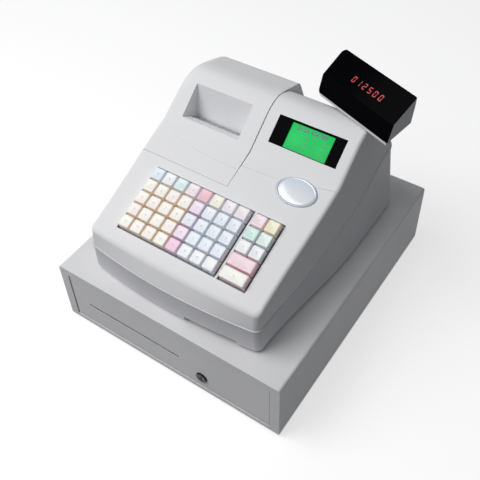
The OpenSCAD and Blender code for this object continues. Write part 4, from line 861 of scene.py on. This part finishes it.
class REGISTER_OT_printer_cover(Operator):
    """Moulds the hinged printer cover with its ticket recess"""

    bl_idname = "register.printer_cover"
    bl_label = "Printer cover"

    def execute(self, context):
        settings = context.scene.register_housing
        cover = dressed_form("printer_cover_shell", cover_top, lambda y: seam_z(y) + SEAM_GAP, SEAM_FRONT_Z, cover_edge,
                             fine=settings.fine, steps=12)
        hollow = dressed_form("hollow", cover_top, lambda y: seam_z(y) - 6, SEAM_FRONT_Z - 6,
                              lambda y: cover_edge(y) - 2, WALL, INNER_DROP, settings.fine // 3)
        combine(cover, [hollow])
        combine(cover, [side_plate(-250, COVER_RIGHT, [
            (COVER_FRONT, cut_z(COVER_FRONT)), (HINGE_Y - 4, cut_z(HINGE_Y - 4)), (HINGE_Y - 4, HINGE_Z + 4),
            (250, HINGE_Z + 4), (250, FAR), (COVER_FRONT, FAR)])], "INTERSECT")
        ys = [mix(COVER_FRONT, HINGE_Y - 6, i / 60) for i in range(61)]
        right_wall = side_plate(COVER_RIGHT - WALL, COVER_RIGHT - 0.001, [(y, cover_top(y) - WALL / 2) for y in ys]
                                + [(y, max(housing_top(y) - SKIRT_H, cut_z(y))) for y in reversed(ys)])
        lip = Vector((8.2, sloped(8.2, FACE_ANGLE)))
        foot = Vector((39, lip.y - 18.2))
        crest = Vector((47.3, sloped(47.3, FACE_ANGLE)))
        outward = Vector((-math.sin(math.radians(FACE_ANGLE)), math.cos(math.radians(FACE_ANGLE)))) * 40
        x0, x1 = RECESS_X - RECESS_W / 2, RECESS_X + RECESS_W / 2
        pan = side_plate(x0 - WALL, x1 + WALL, [
            lip + Vector((-WALL, -1.2 * WALL)), foot + Vector((0, -1.2 * WALL)), foot + Vector((WALL, -WALL / 2)),
            (crest.x + WALL, cover_top(crest.x + WALL) - WALL / 2), (lip.x - WALL, cover_top(lip.x - WALL) - WALL / 2)])
        knuckles = []
        for x in (HINGE_LEFT + EAR_T / 2 + 0.3, HINGE_RIGHT - EAR_T / 2 - 0.3 - KNUCKLE_L):
            top = cover_top(HINGE_Y - 9)
            knuckles += [rod("X", x + 0.01, KNUCKLE_L - 0.02, (HINGE_Y, HINGE_Z), KNUCKLE_D), side_plate(
                x, x + KNUCKLE_L, [(HINGE_Y - KNUCKLE_D / 2, HINGE_Z), (HINGE_Y + 1, HINGE_Z),
                                   (HINGE_Y + 1.5, HINGE_Z + 4), (HINGE_Y - 3, HINGE_Z + 8), (HINGE_Y - 9, top - 1),
                                   (HINGE_Y - 12, top - 4)])]
        tail = side_plate(BODY_X - TOP_W / 2 + 14, COVER_RIGHT - WALL / 2, [
            (HINGE_Y - TAIL_IN, HINGE_Z - TAIL_DROP), (HINGE_Y - TAIL_OUT, HINGE_Z - TAIL_DROP),
            (HINGE_Y - TAIL_OUT, cover_top(HINGE_Y - TAIL_OUT) - 1),
            (HINGE_Y - TAIL_IN, cover_top(HINGE_Y - TAIL_IN) - 1)])
        combine(cover, [right_wall, pan, tail, *knuckles], "UNION")
        bores = [rod("X", x - 1, KNUCKLE_L + 2, (HINGE_Y, HINGE_Z), HINGE_PIN_D + 0.1)
                 for x in (HINGE_LEFT + EAR_T / 2 + 0.3, HINGE_RIGHT - EAR_T / 2 - 0.3 - KNUCKLE_L)]
        combine(cover, [
            side_plate(x0, x1, [lip, foot, crest, crest + outward, lip + outward]),
            block((x0 + 3, foot.x - PAPER_SLOT, foot.y - 3 * WALL), (x1 - 3, foot.x - 0.2, foot.y + PAPER_SLOT)),
            *bores])
        ease_edges(cover, settings.eased)
        combine(cover, [styling_groove(BODY_X - TOP_W / 2 - 20, COVER_RIGHT + 1, *COVER_ARC)])
        soften(cover)
        place(cover, "cover", "housing_plastic", "printer_cover", material=housing_finish())
        return {"FINISHED"}


# ---------------------------------------------------------------- keys


WHITE, ICE, CREAM = rgb(250, 251, 253), rgb(240, 246, 254), rgb(255, 251, 243)
FUNCTION_TOPS = [rgb(232, 243, 252), WHITE, rgb(228, 247, 249), rgb(252, 236, 242), rgb(250, 196, 210),
                 rgb(254, 250, 230), rgb(250, 243, 248), rgb(252, 241, 245)]
CLERK_TOPS = [rgb(250, 233, 247), rgb(238, 241, 252), rgb(251, 230, 246), rgb(252, 208, 229)]
SIDE_TOPS = [rgb(255, 236, 243), rgb(255, 251, 218), rgb(218, 248, 239), rgb(240, 253, 249), rgb(251, 252, 254),
             rgb(251, 252, 254)]
SIDE_SKIRTS = [rgb(250, 232, 238), rgb(255, 232, 206), rgb(226, 238, 236), rgb(228, 236, 238), rgb(234, 236, 242),
               rgb(234, 236, 242)]
ORANGE_SKIRT, BLUE_SKIRT, GREY_SKIRT = rgb(255, 238, 218), rgb(238, 244, 252), rgb(242, 244, 248)
INK = rgb(176, 180, 192)


def rounded_ring(w, d, r, z, arc=5):
    """A rectangle with rounded corners."""
    ring = []
    for quarter, (sx, sy) in enumerate(((1, 1), (-1, 1), (-1, -1), (1, -1))):
        for i in range(arc + 1):
            a = math.pi / 2 * (quarter + i / arc)
            ring.append((sx * (w / 2 - r) + r * math.cos(a), sy * (d / 2 - r) + r * math.sin(a), z))
    return ring


class Caps:
    """Collects the caps and figures of one key group, with a tint for each face."""

    def __init__(self, settings):
        self.settings, self.points, self.faces, self.tints = settings, [], [], []

    def add(self, points, faces, tint, at):
        first = len(self.points)
        self.points += [at @ Vector(p) for p in points]
        self.faces += [tuple(first + v for v in face) for face in faces]
        self.tints += [tint] * len(faces)

    def dish_z(self, x, y, w, d):
        """Height of the hollowed top at a place on the cap."""
        across = clamp01(((2 * abs(x) / w) ** 4 + (2 * abs(y) / d) ** 4) ** 0.25)
        return KEY_RISE - self.settings.dish * (1 - across ** 2)

    def cap(self, x, v, top, skirt, wide=1, figure=""):
        extra, r = (wide - 1) * KEY_PITCH, self.settings.corner
        foot, crown = KEY_FOOT, KEY_TOP - 0.6
        levels = [(foot - 3.0, 1.0, -KEY_SINK + 0.6), (foot - 1.6, r * 0.7, -KEY_SINK), (foot, r * 0.7, -KEY_SINK),
                  (foot - 0.3, r * 0.75, 0.2), (KEY_TOP + 1.25, r, 6.5), (KEY_TOP + 0.9, r * 1.1, 7.2),
                  (KEY_TOP + 0.1, r * 1.15, 7.75), (crown, r * 1.2, KEY_RISE)]
        rings = [rounded_ring(side + extra, side, radius, z) for side, radius, z in levels]
        for share in (0.86, 0.66, 0.42, 0.2):
            ring = rounded_ring((crown + extra) * share, crown * share, r * 1.2 * share, 0)
            rings.append([(px, py, self.dish_z(px, py, crown + extra, crown)) for px, py, _ in ring])
        count, at = len(rings[0]), ON_PANEL @ Matrix.Translation((x, v, 0))
        points = [p for ring in rings for p in ring]
        quads = ring_faces(len(rings), count)
        side = SKIRT_RINGS * count
        self.add(points, quads[:side], skirt, at)
        self.add([], [tuple(v - len(points) for v in face) for face in quads[side:]], top, at)
        self.add([], [tuple(-count + i for i in range(count))], top, at)
        self.add([], [tuple(-len(points) + i for i in reversed(range(count)))], skirt, at)
        stem = [(3 * math.cos(math.pi * i / 8), 3 * math.sin(math.pi * i / 8), z)
                for z in (-KEY_SINK - 6.4, -KEY_SINK + 0.7) for i in range(16)]
        self.add(stem, ring_faces(2, 16) + [tuple(range(15, -1, -1))], skirt, at)
        if figure and self.settings.figures:
            self.figure(figure, at, crown + extra, crown)

    def figure(self, text, at, w, d):
        """Prints a figure on the hollow top."""
        size = 5.6 if len(text) == 1 else 4.4
        points, faces = lettering(text, size)
        placed = [(x, y, self.dish_z(x, y, w, d) + 0.04) for x, y in points]
        self.add(placed, faces, INK, at)

    def finish(self, name):
        piece = solid(name, self.points, self.faces)
        tint = piece.data.attributes.new("cap_tint", "FLOAT_COLOR", "CORNER")
        values = []
        for polygon, colour in zip(piece.data.polygons, self.tints):
            values += list(colour) * polygon.loop_total
        tint.data.foreach_set("color", values)
        for polygon in piece.data.polygons:
            polygon.use_smooth = True
        piece.data.set_sharp_from_angle(angle=math.radians(50))
        return piece


def lettering(text, size, weight=0.0):
    """Points and faces of a flat text, centred on its middle, in millimetres. weight thickens its strokes."""
    curve = bpy.data.curves.new("figure", "FONT")
    curve.body, curve.size, curve.resolution_u, curve.offset = text, size, 3, weight
    curve.align_x, curve.align_y = "CENTER", "CENTER"
    holder = bpy.data.objects.new("figure", curve)
    bpy.context.scene.collection.objects.link(holder)
    bpy.context.view_layer.update()
    mesh = bpy.data.meshes.new_from_object(holder.evaluated_get(bpy.context.evaluated_depsgraph_get()))
    bm = bmesh.new()
    bm.from_mesh(mesh)
    bmesh.ops.subdivide_edges(bm, edges=[e for e in bm.edges if e.calc_length() > size * 0.3], cuts=2)
    bmesh.ops.triangulate(bm, faces=bm.faces)
    bm.verts.index_update()
    points, faces = [(v.co.x, v.co.y) for v in bm.verts], [tuple(v.index for v in face.verts) for face in bm.faces]
    bm.free()
    bpy.data.objects.remove(holder)
    bpy.data.curves.remove(curve)
    bpy.data.meshes.remove(mesh)
    if not faces:
        raise RuntimeError(f"no shape for the figure {text}")
    xs, ys = [p[0] for p in points], [p[1] for p in points]
    cx, cy = (min(xs) + max(xs)) / 2, (min(ys) + max(ys)) / 2
    return [(x - cx, y - cy) for x, y in points], faces


def key_groups():
    """Each key group's node, record slot and caps: place, colours, width and figure."""
    def at(col, row):
        return KEY_X0 + col * KEY_PITCH, -KEY_V0 - row * KEY_PITCH

    groups = [("function_keys", "key_mixed", [
        (*at(c, 0), FUNCTION_TOPS[c], GREY_SKIRT, 1, f)
        for c, f in enumerate(["#", "%", "+%", "-%", "C", "*", "x", "/"])])]
    groups.append(("department_keys", "key_cream", [
        (*at(c, r), CREAM if (c + r) % 3 else rgb(255, 246, 240), ORANGE_SKIRT, 1, str(4 * (r - 1) + c + 1))
        for r in range(1, 5) for c in range(4)]))
    groups.append(("clerk_keys", "key_lilac", [
        (*at(4, r), CLERK_TOPS[r - 1], rgb(234, 216, 234), 1, str(16 + r)) for r in range(1, 5)]))
    pad = [["7", "8", "9"], ["4", "5", "6"], ["1", "2", "3"], ["0", "00", "."]]
    for r in range(1, 5):
        groups.append((f"number_keys_{r}", "key_ice", [
            (*at(5 + c, r), ICE if r < 4 else WHITE, BLUE_SKIRT, 1, pad[r - 1][c]) for c in range(3)]))
    sx = SIDE_X0 + KEY_PITCH / 2
    slots = ["pink", "yellow", "mint", "mint", "white", "white"]
    for i, figure in enumerate(["+", "-", "x", "/", "=", "%"]):
        groups.append((f"side_key_{i + 1}", "key_side_" + slots[i], [
            (sx + i % 2 * KEY_PITCH, -KEY_V0 - i // 2 * KEY_PITCH, SIDE_TOPS[i], SIDE_SKIRTS[i], 1, figure)]))
    for i, (top, skirt, slot, figure) in enumerate([
            (rgb(252, 222, 232), rgb(246, 208, 210), "key_side_pink", "+ / -"),
            (rgb(254, 252, 244), rgb(246, 216, 226), "key_side_cream", "=")]):
        groups.append((f"wide_key_{i + 1}", slot, [
            (sx + KEY_PITCH / 2, -KEY_V0 - (3 + i) * KEY_PITCH, top, skirt, 2, figure)]))
    return groups


class REGISTER_OT_keys(Operator):
    """Makes the key caps with their tints and figures"""

    bl_idname = "register.keys"
    bl_label = "Keys"

    def execute(self, context):
        plastic = cap_plastic("cap_plastic")
        for node, slot, caps in key_groups():
            group = Caps(context.scene.register_keys)
            for x, v, top, skirt, wide, figure in caps:
                group.cap(x, v, top, skirt, wide, figure)
            place(group.finish(node + "_caps"), "press_" + node, slot, node, material=plastic)
        paint(moulded("bed_plastic", rgb(158, 160, 166), 0.6, 0.03, 0.6), "key_bed")
        paint(rubber("key_mat_rubber", rgb(70, 70, 74)), "key_mat")
        return {"FINISHED"}


# ---------------------------------------------------------------- badge and screens


class REGISTER_OT_badge(Operator):
    """Makes the domed oval badge with its raised rim, left bare"""

    bl_idname = "register.badge"
    bl_label = "Oval badge"

    def execute(self, context):
        profile = [(1.0, 0.0), (1.0, 0.7), (0.992, 1.2), (0.975, 1.62), (0.95, 1.86), (0.92, 1.88), (0.895, 1.7),
                   (0.875, 1.42), (0.855, 1.38)]
        profile += [(0.855 * math.cos(math.pi * i / 16), 1.38 + 0.6 * math.sin(math.pi * i / 16)) for i in range(1, 8)]
        around = 96
        at = ON_PANEL @ Matrix.Translation((BADGE_X, -BADGE_V, 0.1))
        points = [(share * BADGE_W / 2 * math.cos(2 * math.pi * i / around),
                   share * BADGE_H / 2 * math.sin(2 * math.pi * i / around), z)
                  for share, z in profile for i in range(around)]
        faces = ring_faces(len(profile), around)
        faces += [tuple(reversed(range(around))), tuple(range(len(points) - around, len(points)))]
        badge = solid("oval_badge_face", points, faces, at)
        for polygon in badge.data.polygons:
            polygon.use_smooth = True
        badge.data.set_sharp_from_angle(angle=math.radians(50))
        place(badge, "base", "badge_face", "oval_badge", material=self.enamel())
        return {"FINISHED"}

    def enamel(self):
        """Clear dome over a pale blue-white print, with a satin rim."""
        f = Finish("badge_enamel")
        cosine, sine = math.cos(math.radians(PANEL_ANGLE)), math.sin(math.radians(PANEL_ANGLE))
        u = f.along((1, 0, 0), BADGE_X) / (BADGE_W / 2)
        v = f.along((0, cosine, sine), CREASE_Y * cosine + CREASE_Z * sine - BADGE_V) / (BADGE_H / 2)
        reach = (u * u + v * v).maths("SQRT", u * u + v * v)
        rim = reach.step(0.845, 0.875)
        face = f.blend((v * 0.5 + 0.5 + f.noise(14, 2) * 0.15).step(0.3, 1.0), rgb(241, 244, 248), rgb(222, 232, 243))
        satin = f.blend(f.noise(1.5, 3), rgb(186, 194, 206), rgb(158, 166, 178))
        return f.surface(colour=f.blend(rim, face, satin), roughness=(0.12 + rim * 0.2 + f.noise(3, 3) * 0.05).clamp(),
                         metallic=rim * 0.35, coat_weight=0.8, coat_roughness=0.06)


class REGISTER_OT_screen(Operator):
    """Finishes the operator's screen and draws its rows of dots"""

    bl_idname = "register.screen"
    bl_label = "Screen"

    def execute(self, context):
        lit = tuple(context.scene.register_screens.lit)
        place(self.window(), "base", "window_black", "display_window", material=smoked_acrylic("window_acrylic"))
        paint(dot_screen("lit_screen", lit), "lcd_module")
        strokes, level = [], -1.08
        low, high = WINDOW_V + 2.4, WINDOW_V + WINDOW_H - 4.4
        left, right = LCD_X - LCD_W / 2 + 4, LCD_X + LCD_W / 2 - 4

        def bar(x0, v0, x1, v1):
            strokes.append(((x0, v0, level), (x1, v0, level), (x1, v1, level), (x0, v1, level)))

        title = high - 6.5
        points, faces = lettering("0123 456789", 7.4, 0.30)
        rows = solid("screen_figures", [(LCD_X + x * 1.12, title + 3 + y, level) for x, y in points], faces, ON_FACE)
        for fraction in (0.0, 0.33, 0.66, 1.0):
            v = mix(low, title - 3.5, fraction)
            bar(left, v - 0.25, right, v + 0.25)
        for fraction in (0.0, 0.28, 0.64, 1.0):
            x = mix(left, right, fraction)
            bar(x - 0.25, low, x + 0.25, title - 3.5)
        for row in range(3):
            v = mix(low, title - 3.5, (row + 0.5) / 3)
            for col, (a, b) in enumerate(((0.03, 0.25), (0.32, 0.52), (0.74, 0.96))):
                points, faces = lettering(("12", "345", "67.89")[col], 4.4, 0.08)
                width = max(p[0] for p in points) * 2
                squeeze = min(1.0, (right - left) * (b - a) / width)
                strokes.append(("text", [(mix(left, right, (a + b) / 2) + x * squeeze, v + y, level)
                                         for x, y in points], faces))
        points, faces = [], []
        for stroke in strokes:
            first = len(points)
            if stroke[0] == "text":
                points += stroke[1]
                faces += [tuple(first + i for i in face) for face in stroke[2]]
            else:
                points += list(stroke)
                faces.append((first, first + 1, first + 2, first + 3))
        table = solid("screen_table", points, faces, ON_FACE)
        place(rows, "base", "lcd_green", material=screen_ink("dark_dots", rgb(10, 70, 84)))
        place(table, "base", "lcd_green", material=screen_ink("pale_dots", rgb(14, 118, 70)))
        return {"FINISHED"}

    def window(self):
        """Black acrylic with the clear part over the crystal left open."""
        half, low = WINDOW_W / 2 - 0.15, WINDOW_V + 0.15
        pane = block((WINDOW_X - half, low, -2), (WINDOW_X + half, WINDOW_V + WINDOW_H - 0.15, 0), ON_FACE)
        pane.name = "window_pane"
        ease_edges(pane, 0.4, 32, 3)
        combine(pane, [block((LCD_X - LCD_W / 2 + 0.3, WINDOW_V + LCD_FOOT, -3),
                             (LCD_X + LCD_W / 2 - 0.3, WINDOW_V + WINDOW_H - LCD_TOP, 1), ON_FACE)])
        return soften(pane, 30)


SEGMENTS = {"0": "abcdef", "1": "bc", "2": "abged", "3": "abgcd", "4": "fgbc", "5": "afgcd", "6": "afgedc", "7": "abc",
            "8": "abcdefg", "9": "abcdfg"}


class REGISTER_OT_customer_head(Operator):
    """Makes the swivelling customer display with its digits"""

    bl_idname = "register.customer_head"
    bl_label = "Customer display"

    def execute(self, context):
        settings = context.scene.register_screens
        shell = cad_copy("head_shell", "head_shell_eased", 0.7)
        place(shell, "head", "head_plastic", "head_shell", material=moulded("head_plastic", rgb(206, 206, 209)))
        lens = cad_copy("head_lens", "head_lens_eased", 0.35)
        place(lens, "head", "window_black", "head_lens", material=smoked_acrylic("lens_acrylic"))
        socket = cad_copy("head_socket", "head_socket_eased", 0.5)
        place(socket, "base", "housing_plastic", "head_socket", material=housing_finish())
        slope = math.atan2(51 - 25.2, 40.3 - 6.4)
        at = IN_HEAD @ Matrix.Translation((0, 6.4, 25.2)) @ Matrix.Rotation(slope, 4, "X")
        points, faces = [], []
        for place_index, digit in enumerate("012500"):
            x0, v0, w, h, t = DIGIT_X0 + place_index * DIGIT_PITCH, DIGIT_V0, DIGIT_W, DIGIT_H, DIGIT_BAR
            spots = {"a": (0, h - t, w, h), "d": (0, 0, w, t), "g": (0, h / 2 - t / 2, w, h / 2 + t / 2),
                     "f": (0, h / 2, t, h), "e": (0, 0, t, h / 2), "b": (w - t, h / 2, w, h), "c": (w - t, 0, w, h / 2)}
            for name in SEGMENTS[digit]:
                sx0, sv0, sx1, sv1 = spots[name]
                nib, gap = t / 2, DIGIT_GAP
                if name in "bcef":
                    mid, lo, hi = (sx0 + sx1) / 2, sv0 + gap, sv1 - gap
                    shape = [(mid, lo), (sx1, lo + nib), (sx1, hi - nib), (mid, hi), (sx0, hi - nib), (sx0, lo + nib)]
                else:
                    mid, lo, hi = (sv0 + sv1) / 2, sx0 + gap, sx1 - gap
                    shape = [(lo, mid), (lo + nib, sv0), (hi - nib, sv0), (hi, mid), (hi - nib, sv1), (lo + nib, sv1)]
                first = len(points)
                points += [(x0 + px + DIGIT_SLANT * pv, v0 + pv, 0.03) for px, pv in shape]
                faces.append(tuple(range(first, first + 6)))
        digits = solid("head_digits", points, faces, at)
        place(digits, "head", "window_black", material=lamp_segment("digit_bars", tuple(settings.digits),
                                                                     settings.digit_glow))
        paint(board_green("board_mask"), "main_board", "digit_board")
        return {"FINISHED"}


# ---------------------------------------------------------------- drawer


class REGISTER_OT_drawer(Operator):
    """Finishes the drawer case, its front and its lock"""

    bl_idname = "register.drawer"
    bl_label = "Drawer case and front"

    def execute(self, context):
        settings = context.scene.register_drawer
        coat = powder_coat("case_paint", tuple(settings.case))
        place(self.case(), "base", "case_paint", "drawer_case", material=coat)
        place(cad_copy("drawer_base", "drawer_base_eased", 0.4), "base", "case_paint", "drawer_base", material=coat)
        # The front's document slot gets painted shade: its inner faces are coloured near-black.
        place(self.fascia(), "drawer", "fascia_plastic", "drawer_front",
              material=moulded("fascia_plastic", tuple(settings.fascia), 0.7, 0.03,
                               painted_slot_shade=(SLOT_X, SLOT_Z, SLOT_W / 2 + 0.1, SLOT_H / 2 + 0.02)))
        # Painted reflection: the lock body and barrel take near-black colours in place of chrome, standing in for the
        # dark surroundings that chrome reflects.
        place(cad_copy("lock_body", "lock_body_eased", 0.25), "drawer", "lock_chrome", "lock_body",
              material=bright_metal("lock_chrome", rgb(34, 33, 35), 0.12, (30, 1, 30)))
        place(cad_copy("lock_barrel", "lock_barrel_eased", 0.15), "lock", "lock_chrome", "lock_barrel",
              material=bright_metal("barrel_metal_painted_dark_reflection", rgb(66, 65, 66), 0.22, (30, 1, 30)))
        paint(rubber("foot_rubber"), "drawer_feet", "register_feet")
        return {"FINISHED"}

    def case(self):
        """Folded sheet with the drawer's opening in front, open below."""
        half = CASE_D / 2
        case = front_plate(-half, half, case_outline(CASE_W, CASE_Z0, CASE_Z1, CASE_BEND))
        case.name = "drawer_case_shell"
        ease_edges(case, 0.6, 50)
        inner_w = CASE_W - 2 * SHEET
        combine(case, [
            front_plate(-half + SHEET, half - SHEET,
                        case_outline(inner_w, CASE_Z0 - 5, CASE_Z1 - SHEET, CASE_BEND - SHEET)),
            block((-OPENING_W / 2, -half - 1, -1), (OPENING_W / 2, -half + 2 * SHEET, OPENING_Z1)),
            block((-inner_w / 2, -half + SHEET, -1), (inner_w / 2, half - SHEET, CASE_Z0 + SHEET))])
        return soften(case, 30)

    def fascia(self):
        """Front plate with rounded edges, its document slot with a rolled lip and the hole for the lock."""
        half, z0, z1 = OPENING_W / 2 - FASCIA_GAP, OPENING_Z0 + FASCIA_GAP, OPENING_Z1 - FASCIA_GAP
        fascia = block((-half, FASCIA_Y0, z0), (half, FASCIA_Y0 + FASCIA_T, z1))
        fascia.name = "drawer_front_plate"
        ease_edges(fascia, 0.9, 32, 3)
        lip = rod("X", SLOT_X - SLOT_W / 2, SLOT_W, (FASCIA_Y0 + 0.4, SLOT_Z - SLOT_H / 2 - 0.9), 1.8)
        combine(fascia, [
            block((SLOT_X - SLOT_W / 2, FASCIA_Y0 - 1, SLOT_Z - SLOT_H / 2),
                  (SLOT_X + SLOT_W / 2, FASCIA_Y0 + FASCIA_T + 1, SLOT_Z + SLOT_H / 2)),
            rod("Y", FASCIA_Y0 - 1, FASCIA_T + 2, (LOCK_X, LOCK_Z), LOCK_D, 48)])
        combine(fascia, [lip], "UNION")
        return soften(fascia, 30)


class REGISTER_OT_drawer_inside(Operator):
    """Finishes the drawer box, its slides and the till"""

    bl_idname = "register.drawer_inside"
    bl_label = "Drawer inside"

    def execute(self, context):
        settings = context.scene.register_drawer
        zinc = zinc_plate("zinc_sheet", brushed=(1, 0.05, 1))
        paint(zinc, "drawer_box", "case_rails", "latch_hook")
        paint(bright_metal("latch_steel", rgb(168, 170, 174), 0.3), "latch_unit", "clip_rod", "housing_screws")
        black = moulded("till_plastic", tuple(settings.till), 0.6, 0.03, 0.55, dust=0.2)
        for node in ("till_tray", "coin_tray"):
            place(cad_copy(node, node + "_eased", 0.4), "drawer", "till_plastic", node, material=black)
        for i in range(1, 5):
            place(cad_copy(f"note_clip_{i}", f"note_clip_{i}_eased", 0.3), f"clip_{i}", "till_plastic",
                  f"note_clip_{i}", material=black)
        paint(moulded("natural_nylon", rgb(232, 230, 220), 0.8, 0.02, 0.4), "drawer_glides", "platen_gear")
        return {"FINISHED"}


# ---------------------------------------------------------------- inside


class REGISTER_OT_printer(Operator):
    """Finishes the printer under the cover"""

    bl_idname = "register.printer"
    bl_label = "Printer"

    def execute(self, context):
        paint(zinc_plate("printer_zinc", brushed=(1, 1, 0.05)), "printer_frame")
        paint(bright_metal("motor_steel", rgb(178, 180, 184), 0.28, (30, 1, 1)), "feed_motor", "tear_bar")
        paint(bright_metal("pinion_brass", rgb(206, 170, 96), 0.25), "feed_pinion")
        paint(rubber("platen_rubber", rgb(40, 40, 43)), "platen_roller")
        paint(thermal_paper("thermal_paper"), "paper_roll")
        paint(moulded("spindle_plastic", rgb(52, 52, 56), 0.5, 0.02), "roll_spindle")
        return {"FINISHED"}


class REGISTER_OT_electrics(Operator):
    """Finishes the transformer and the sockets in the rear wall"""

    bl_idname = "register.electrics"
    bl_label = "Electrics"

    def execute(self, context):
        f = Finish("laminated_core")
        layers = f.node("ShaderNodeTexWave", {"wave_type": "BANDS", "bands_direction": "Z"},
                        {"Vector": f.spot(), "Scale": 320.0, "Distortion": 0.4, "Detail": 2.0})
        rust = f.noise(7, 4, 0.7).step(0.55, 0.8)
        tint = f.blend(layers, rgb(96, 98, 104), rgb(156, 158, 162))
        core = f.surface(colour=f.blend(rust * 0.3, tint, rgb(120, 92, 70)), metallic=0.7,
                         roughness=(0.38 + layers * 0.1 + rust * 0.2).clamp(), normal=f.bump(layers, 0.1, 0.5))
        paint(core, "power_transformer")
        black = moulded("inlet_plastic", rgb(36, 36, 39), 0.4, 0.02, 0.42, dust=0.25)
        for node in ("mains_inlet", "socket_panel"):
            place(cad_copy(node, node + "_eased", 0.3), "base", "inlet_plastic", node, material=black)
        place(cad_copy("power_switch", "power_switch_eased", 0.3), "rocker", "inlet_plastic", "power_switch",
              material=moulded("rocker_plastic", rgb(30, 30, 33), 0.4, 0.01, 0.3, dust=0.15))
        return {"FINISHED"}


# ---------------------------------------------------------------- stage


class REGISTER_OT_stage(Operator):
    """Sets the floor, the lights and the camera"""

    bl_idname = "register.stage"
    bl_label = "Stage"

    def execute(self, context):
        settings, scene = context.scene.register_stage, context.scene
        floor = solid("floor", [(-4000, -4000, -0.05), (4000, -4000, -0.05), (4000, 4000, -0.05),
                                (-4000, 4000, -0.05)], [(0, 1, 2, 3)])
        floor.data.materials.append(self.floor_finish(tuple(settings.floor)))
        world = bpy.data.worlds.new("studio")
        scene.world = world
        world.use_nodes = True
        tree = world.node_tree
        tree.nodes.clear()
        output = tree.nodes.new("ShaderNodeOutputWorld")
        seen, even = tree.nodes.new("ShaderNodeBackground"), tree.nodes.new("ShaderNodeBackground")
        even.inputs["Strength"].default_value = settings.fill
        even.inputs["Color"].default_value = (0.96, 0.98, 1.0, 1)
        path, either = tree.nodes.new("ShaderNodeLightPath"), tree.nodes.new("ShaderNodeMath")
        both, choose = tree.nodes.new("ShaderNodeMath"), tree.nodes.new("ShaderNodeMixShader")
        either.operation = both.operation = "MAXIMUM"
        tree.links.new(path.outputs["Is Camera Ray"], either.inputs[0])
        tree.links.new(path.outputs["Is Glossy Ray"], either.inputs[1])
        tree.links.new(either.outputs[0], both.inputs[0])
        tree.links.new(path.outputs["Is Transmission Ray"], both.inputs[1])
        tree.links.new(both.outputs[0], choose.inputs[0])
        tree.links.new(even.outputs[0], choose.inputs[1])
        tree.links.new(seen.outputs[0], choose.inputs[2])
        tree.links.new(choose.outputs[0], output.inputs["Surface"])
        self.lamp("main_light", (-0.76, -0.80, 1.7), 1.4, settings.key_power)
        self.camera(scene)
        scene.view_settings.view_transform = "Standard"
        return {"FINISHED"}

    def floor_finish(self, colour):
        """Pale matt board that throws little light back at the sides of the object."""
        f = Finish("floor_board")
        seen, glossy, passed = (f.node("ShaderNodeLightPath", output=f"Is {ray} Ray")
                                for ray in ("Camera", "Glossy", "Transmission"))
        grain = f.noise(40, 3, 0.5)
        pale = f.blend(grain * 0.02, colour, toned(colour, 0.97))
        dim = f.blend(grain * 0.02, toned(colour, 0.5), toned(colour, 0.48))
        matt = f.node("ShaderNodeBsdfDiffuse", None, {"Color": dim})
        lift = f.node("ShaderNodeEmission", None, {"Color": pale, "Strength": 0.66})
        bright = f.node("ShaderNodeAddShader", None, {0: matt, 1: lift})
        quiet = f.node("ShaderNodeBsdfDiffuse", None, {"Color": (0.12, 0.12, 0.125, 1)})
        shown = f.node("ShaderNodeMixShader", None, {0: (seen + glossy + passed).clamp(), 1: quiet, 2: bright})
        f.tree.links.new(shown.socket, f.output.inputs["Surface"])
        return f.material

    def lamp(self, name, at, size, power):
        light = bpy.data.lights.new(name, "AREA")
        light.shape, light.size, light.energy = "SQUARE", size, power
        lamp = bpy.data.objects.new(name, light)
        bpy.context.scene.collection.objects.link(lamp)
        lamp.location = at
        lamp.rotation_euler = (Vector((0, 0, 0.15)) - Vector(at)).to_track_quat("-Z", "Y").to_euler()

    def camera(self, scene):
        azimuth, elevation, roll = math.radians(35.96), math.radians(45.25), math.radians(-2.384)
        back = Vector((math.sin(azimuth) * math.cos(elevation), -math.cos(azimuth) * math.cos(elevation),
                       math.sin(elevation)))
        right = (-back).cross(Vector((0, 0, 1))).normalized()
        up = right.cross(-back)
        side = right * math.cos(roll) + up * math.sin(roll)
        top = -right * math.sin(roll) + up * math.cos(roll)
        lens = bpy.data.cameras.new("camera")
        lens.lens, lens.sensor_width, lens.shift_x, lens.shift_y = FOCAL_LENGTH, SENSOR_W, 0.0083, -0.0731
        lens.clip_start, lens.clip_end = 0.01, 50
        camera = bpy.data.objects.new("camera", lens)
        scene.collection.objects.link(camera)
        turned = Matrix((side, top, back)).transposed().to_4x4()
        camera.matrix_world = Matrix.Translation(Vector((412.485, -598.706, 885.115)) * MM) @ turned
        scene.camera = camera


PIECES = (REGISTER_OT_upper_housing, REGISTER_OT_lower_housing, REGISTER_OT_printer_cover, REGISTER_OT_keys,
          REGISTER_OT_badge, REGISTER_OT_screen, REGISTER_OT_customer_head, REGISTER_OT_drawer,
          REGISTER_OT_drawer_inside, REGISTER_OT_printer, REGISTER_OT_electrics, REGISTER_OT_stage)


class REGISTER_PT_panel(Panel):
    """Lists the register's pieces and their settings"""

    bl_idname = "REGISTER_PT_panel"
    bl_label = "Ticket register"
    bl_space_type = "VIEW_3D"
    bl_region_type = "UI"
    bl_category = "Register"

    def draw(self, context):
        for name, group in SETTINGS.items():
            box = self.layout.box()
            for key in group.__annotations__:
                box.prop(getattr(context.scene, name), key)
        for piece in PIECES:
            self.layout.operator(piece.bl_idname)


def register():
    for kind in (*SETTINGS.values(), *PIECES, REGISTER_PT_panel):
        bpy.utils.register_class(kind)
    for name, group in SETTINGS.items():
        setattr(bpy.types.Scene, name, PointerProperty(type=group))


def unregister():
    for name in SETTINGS:
        delattr(bpy.types.Scene, name)
    for kind in (REGISTER_PT_panel, *reversed(PIECES), *SETTINGS.values()):
        bpy.utils.unregister_class(kind)


def main():
    register()
    for piece in PIECES:
        area, name = piece.bl_idname.split(".")
        getattr(getattr(bpy.ops, area), name)()


if __name__ == "__main__":
    main()
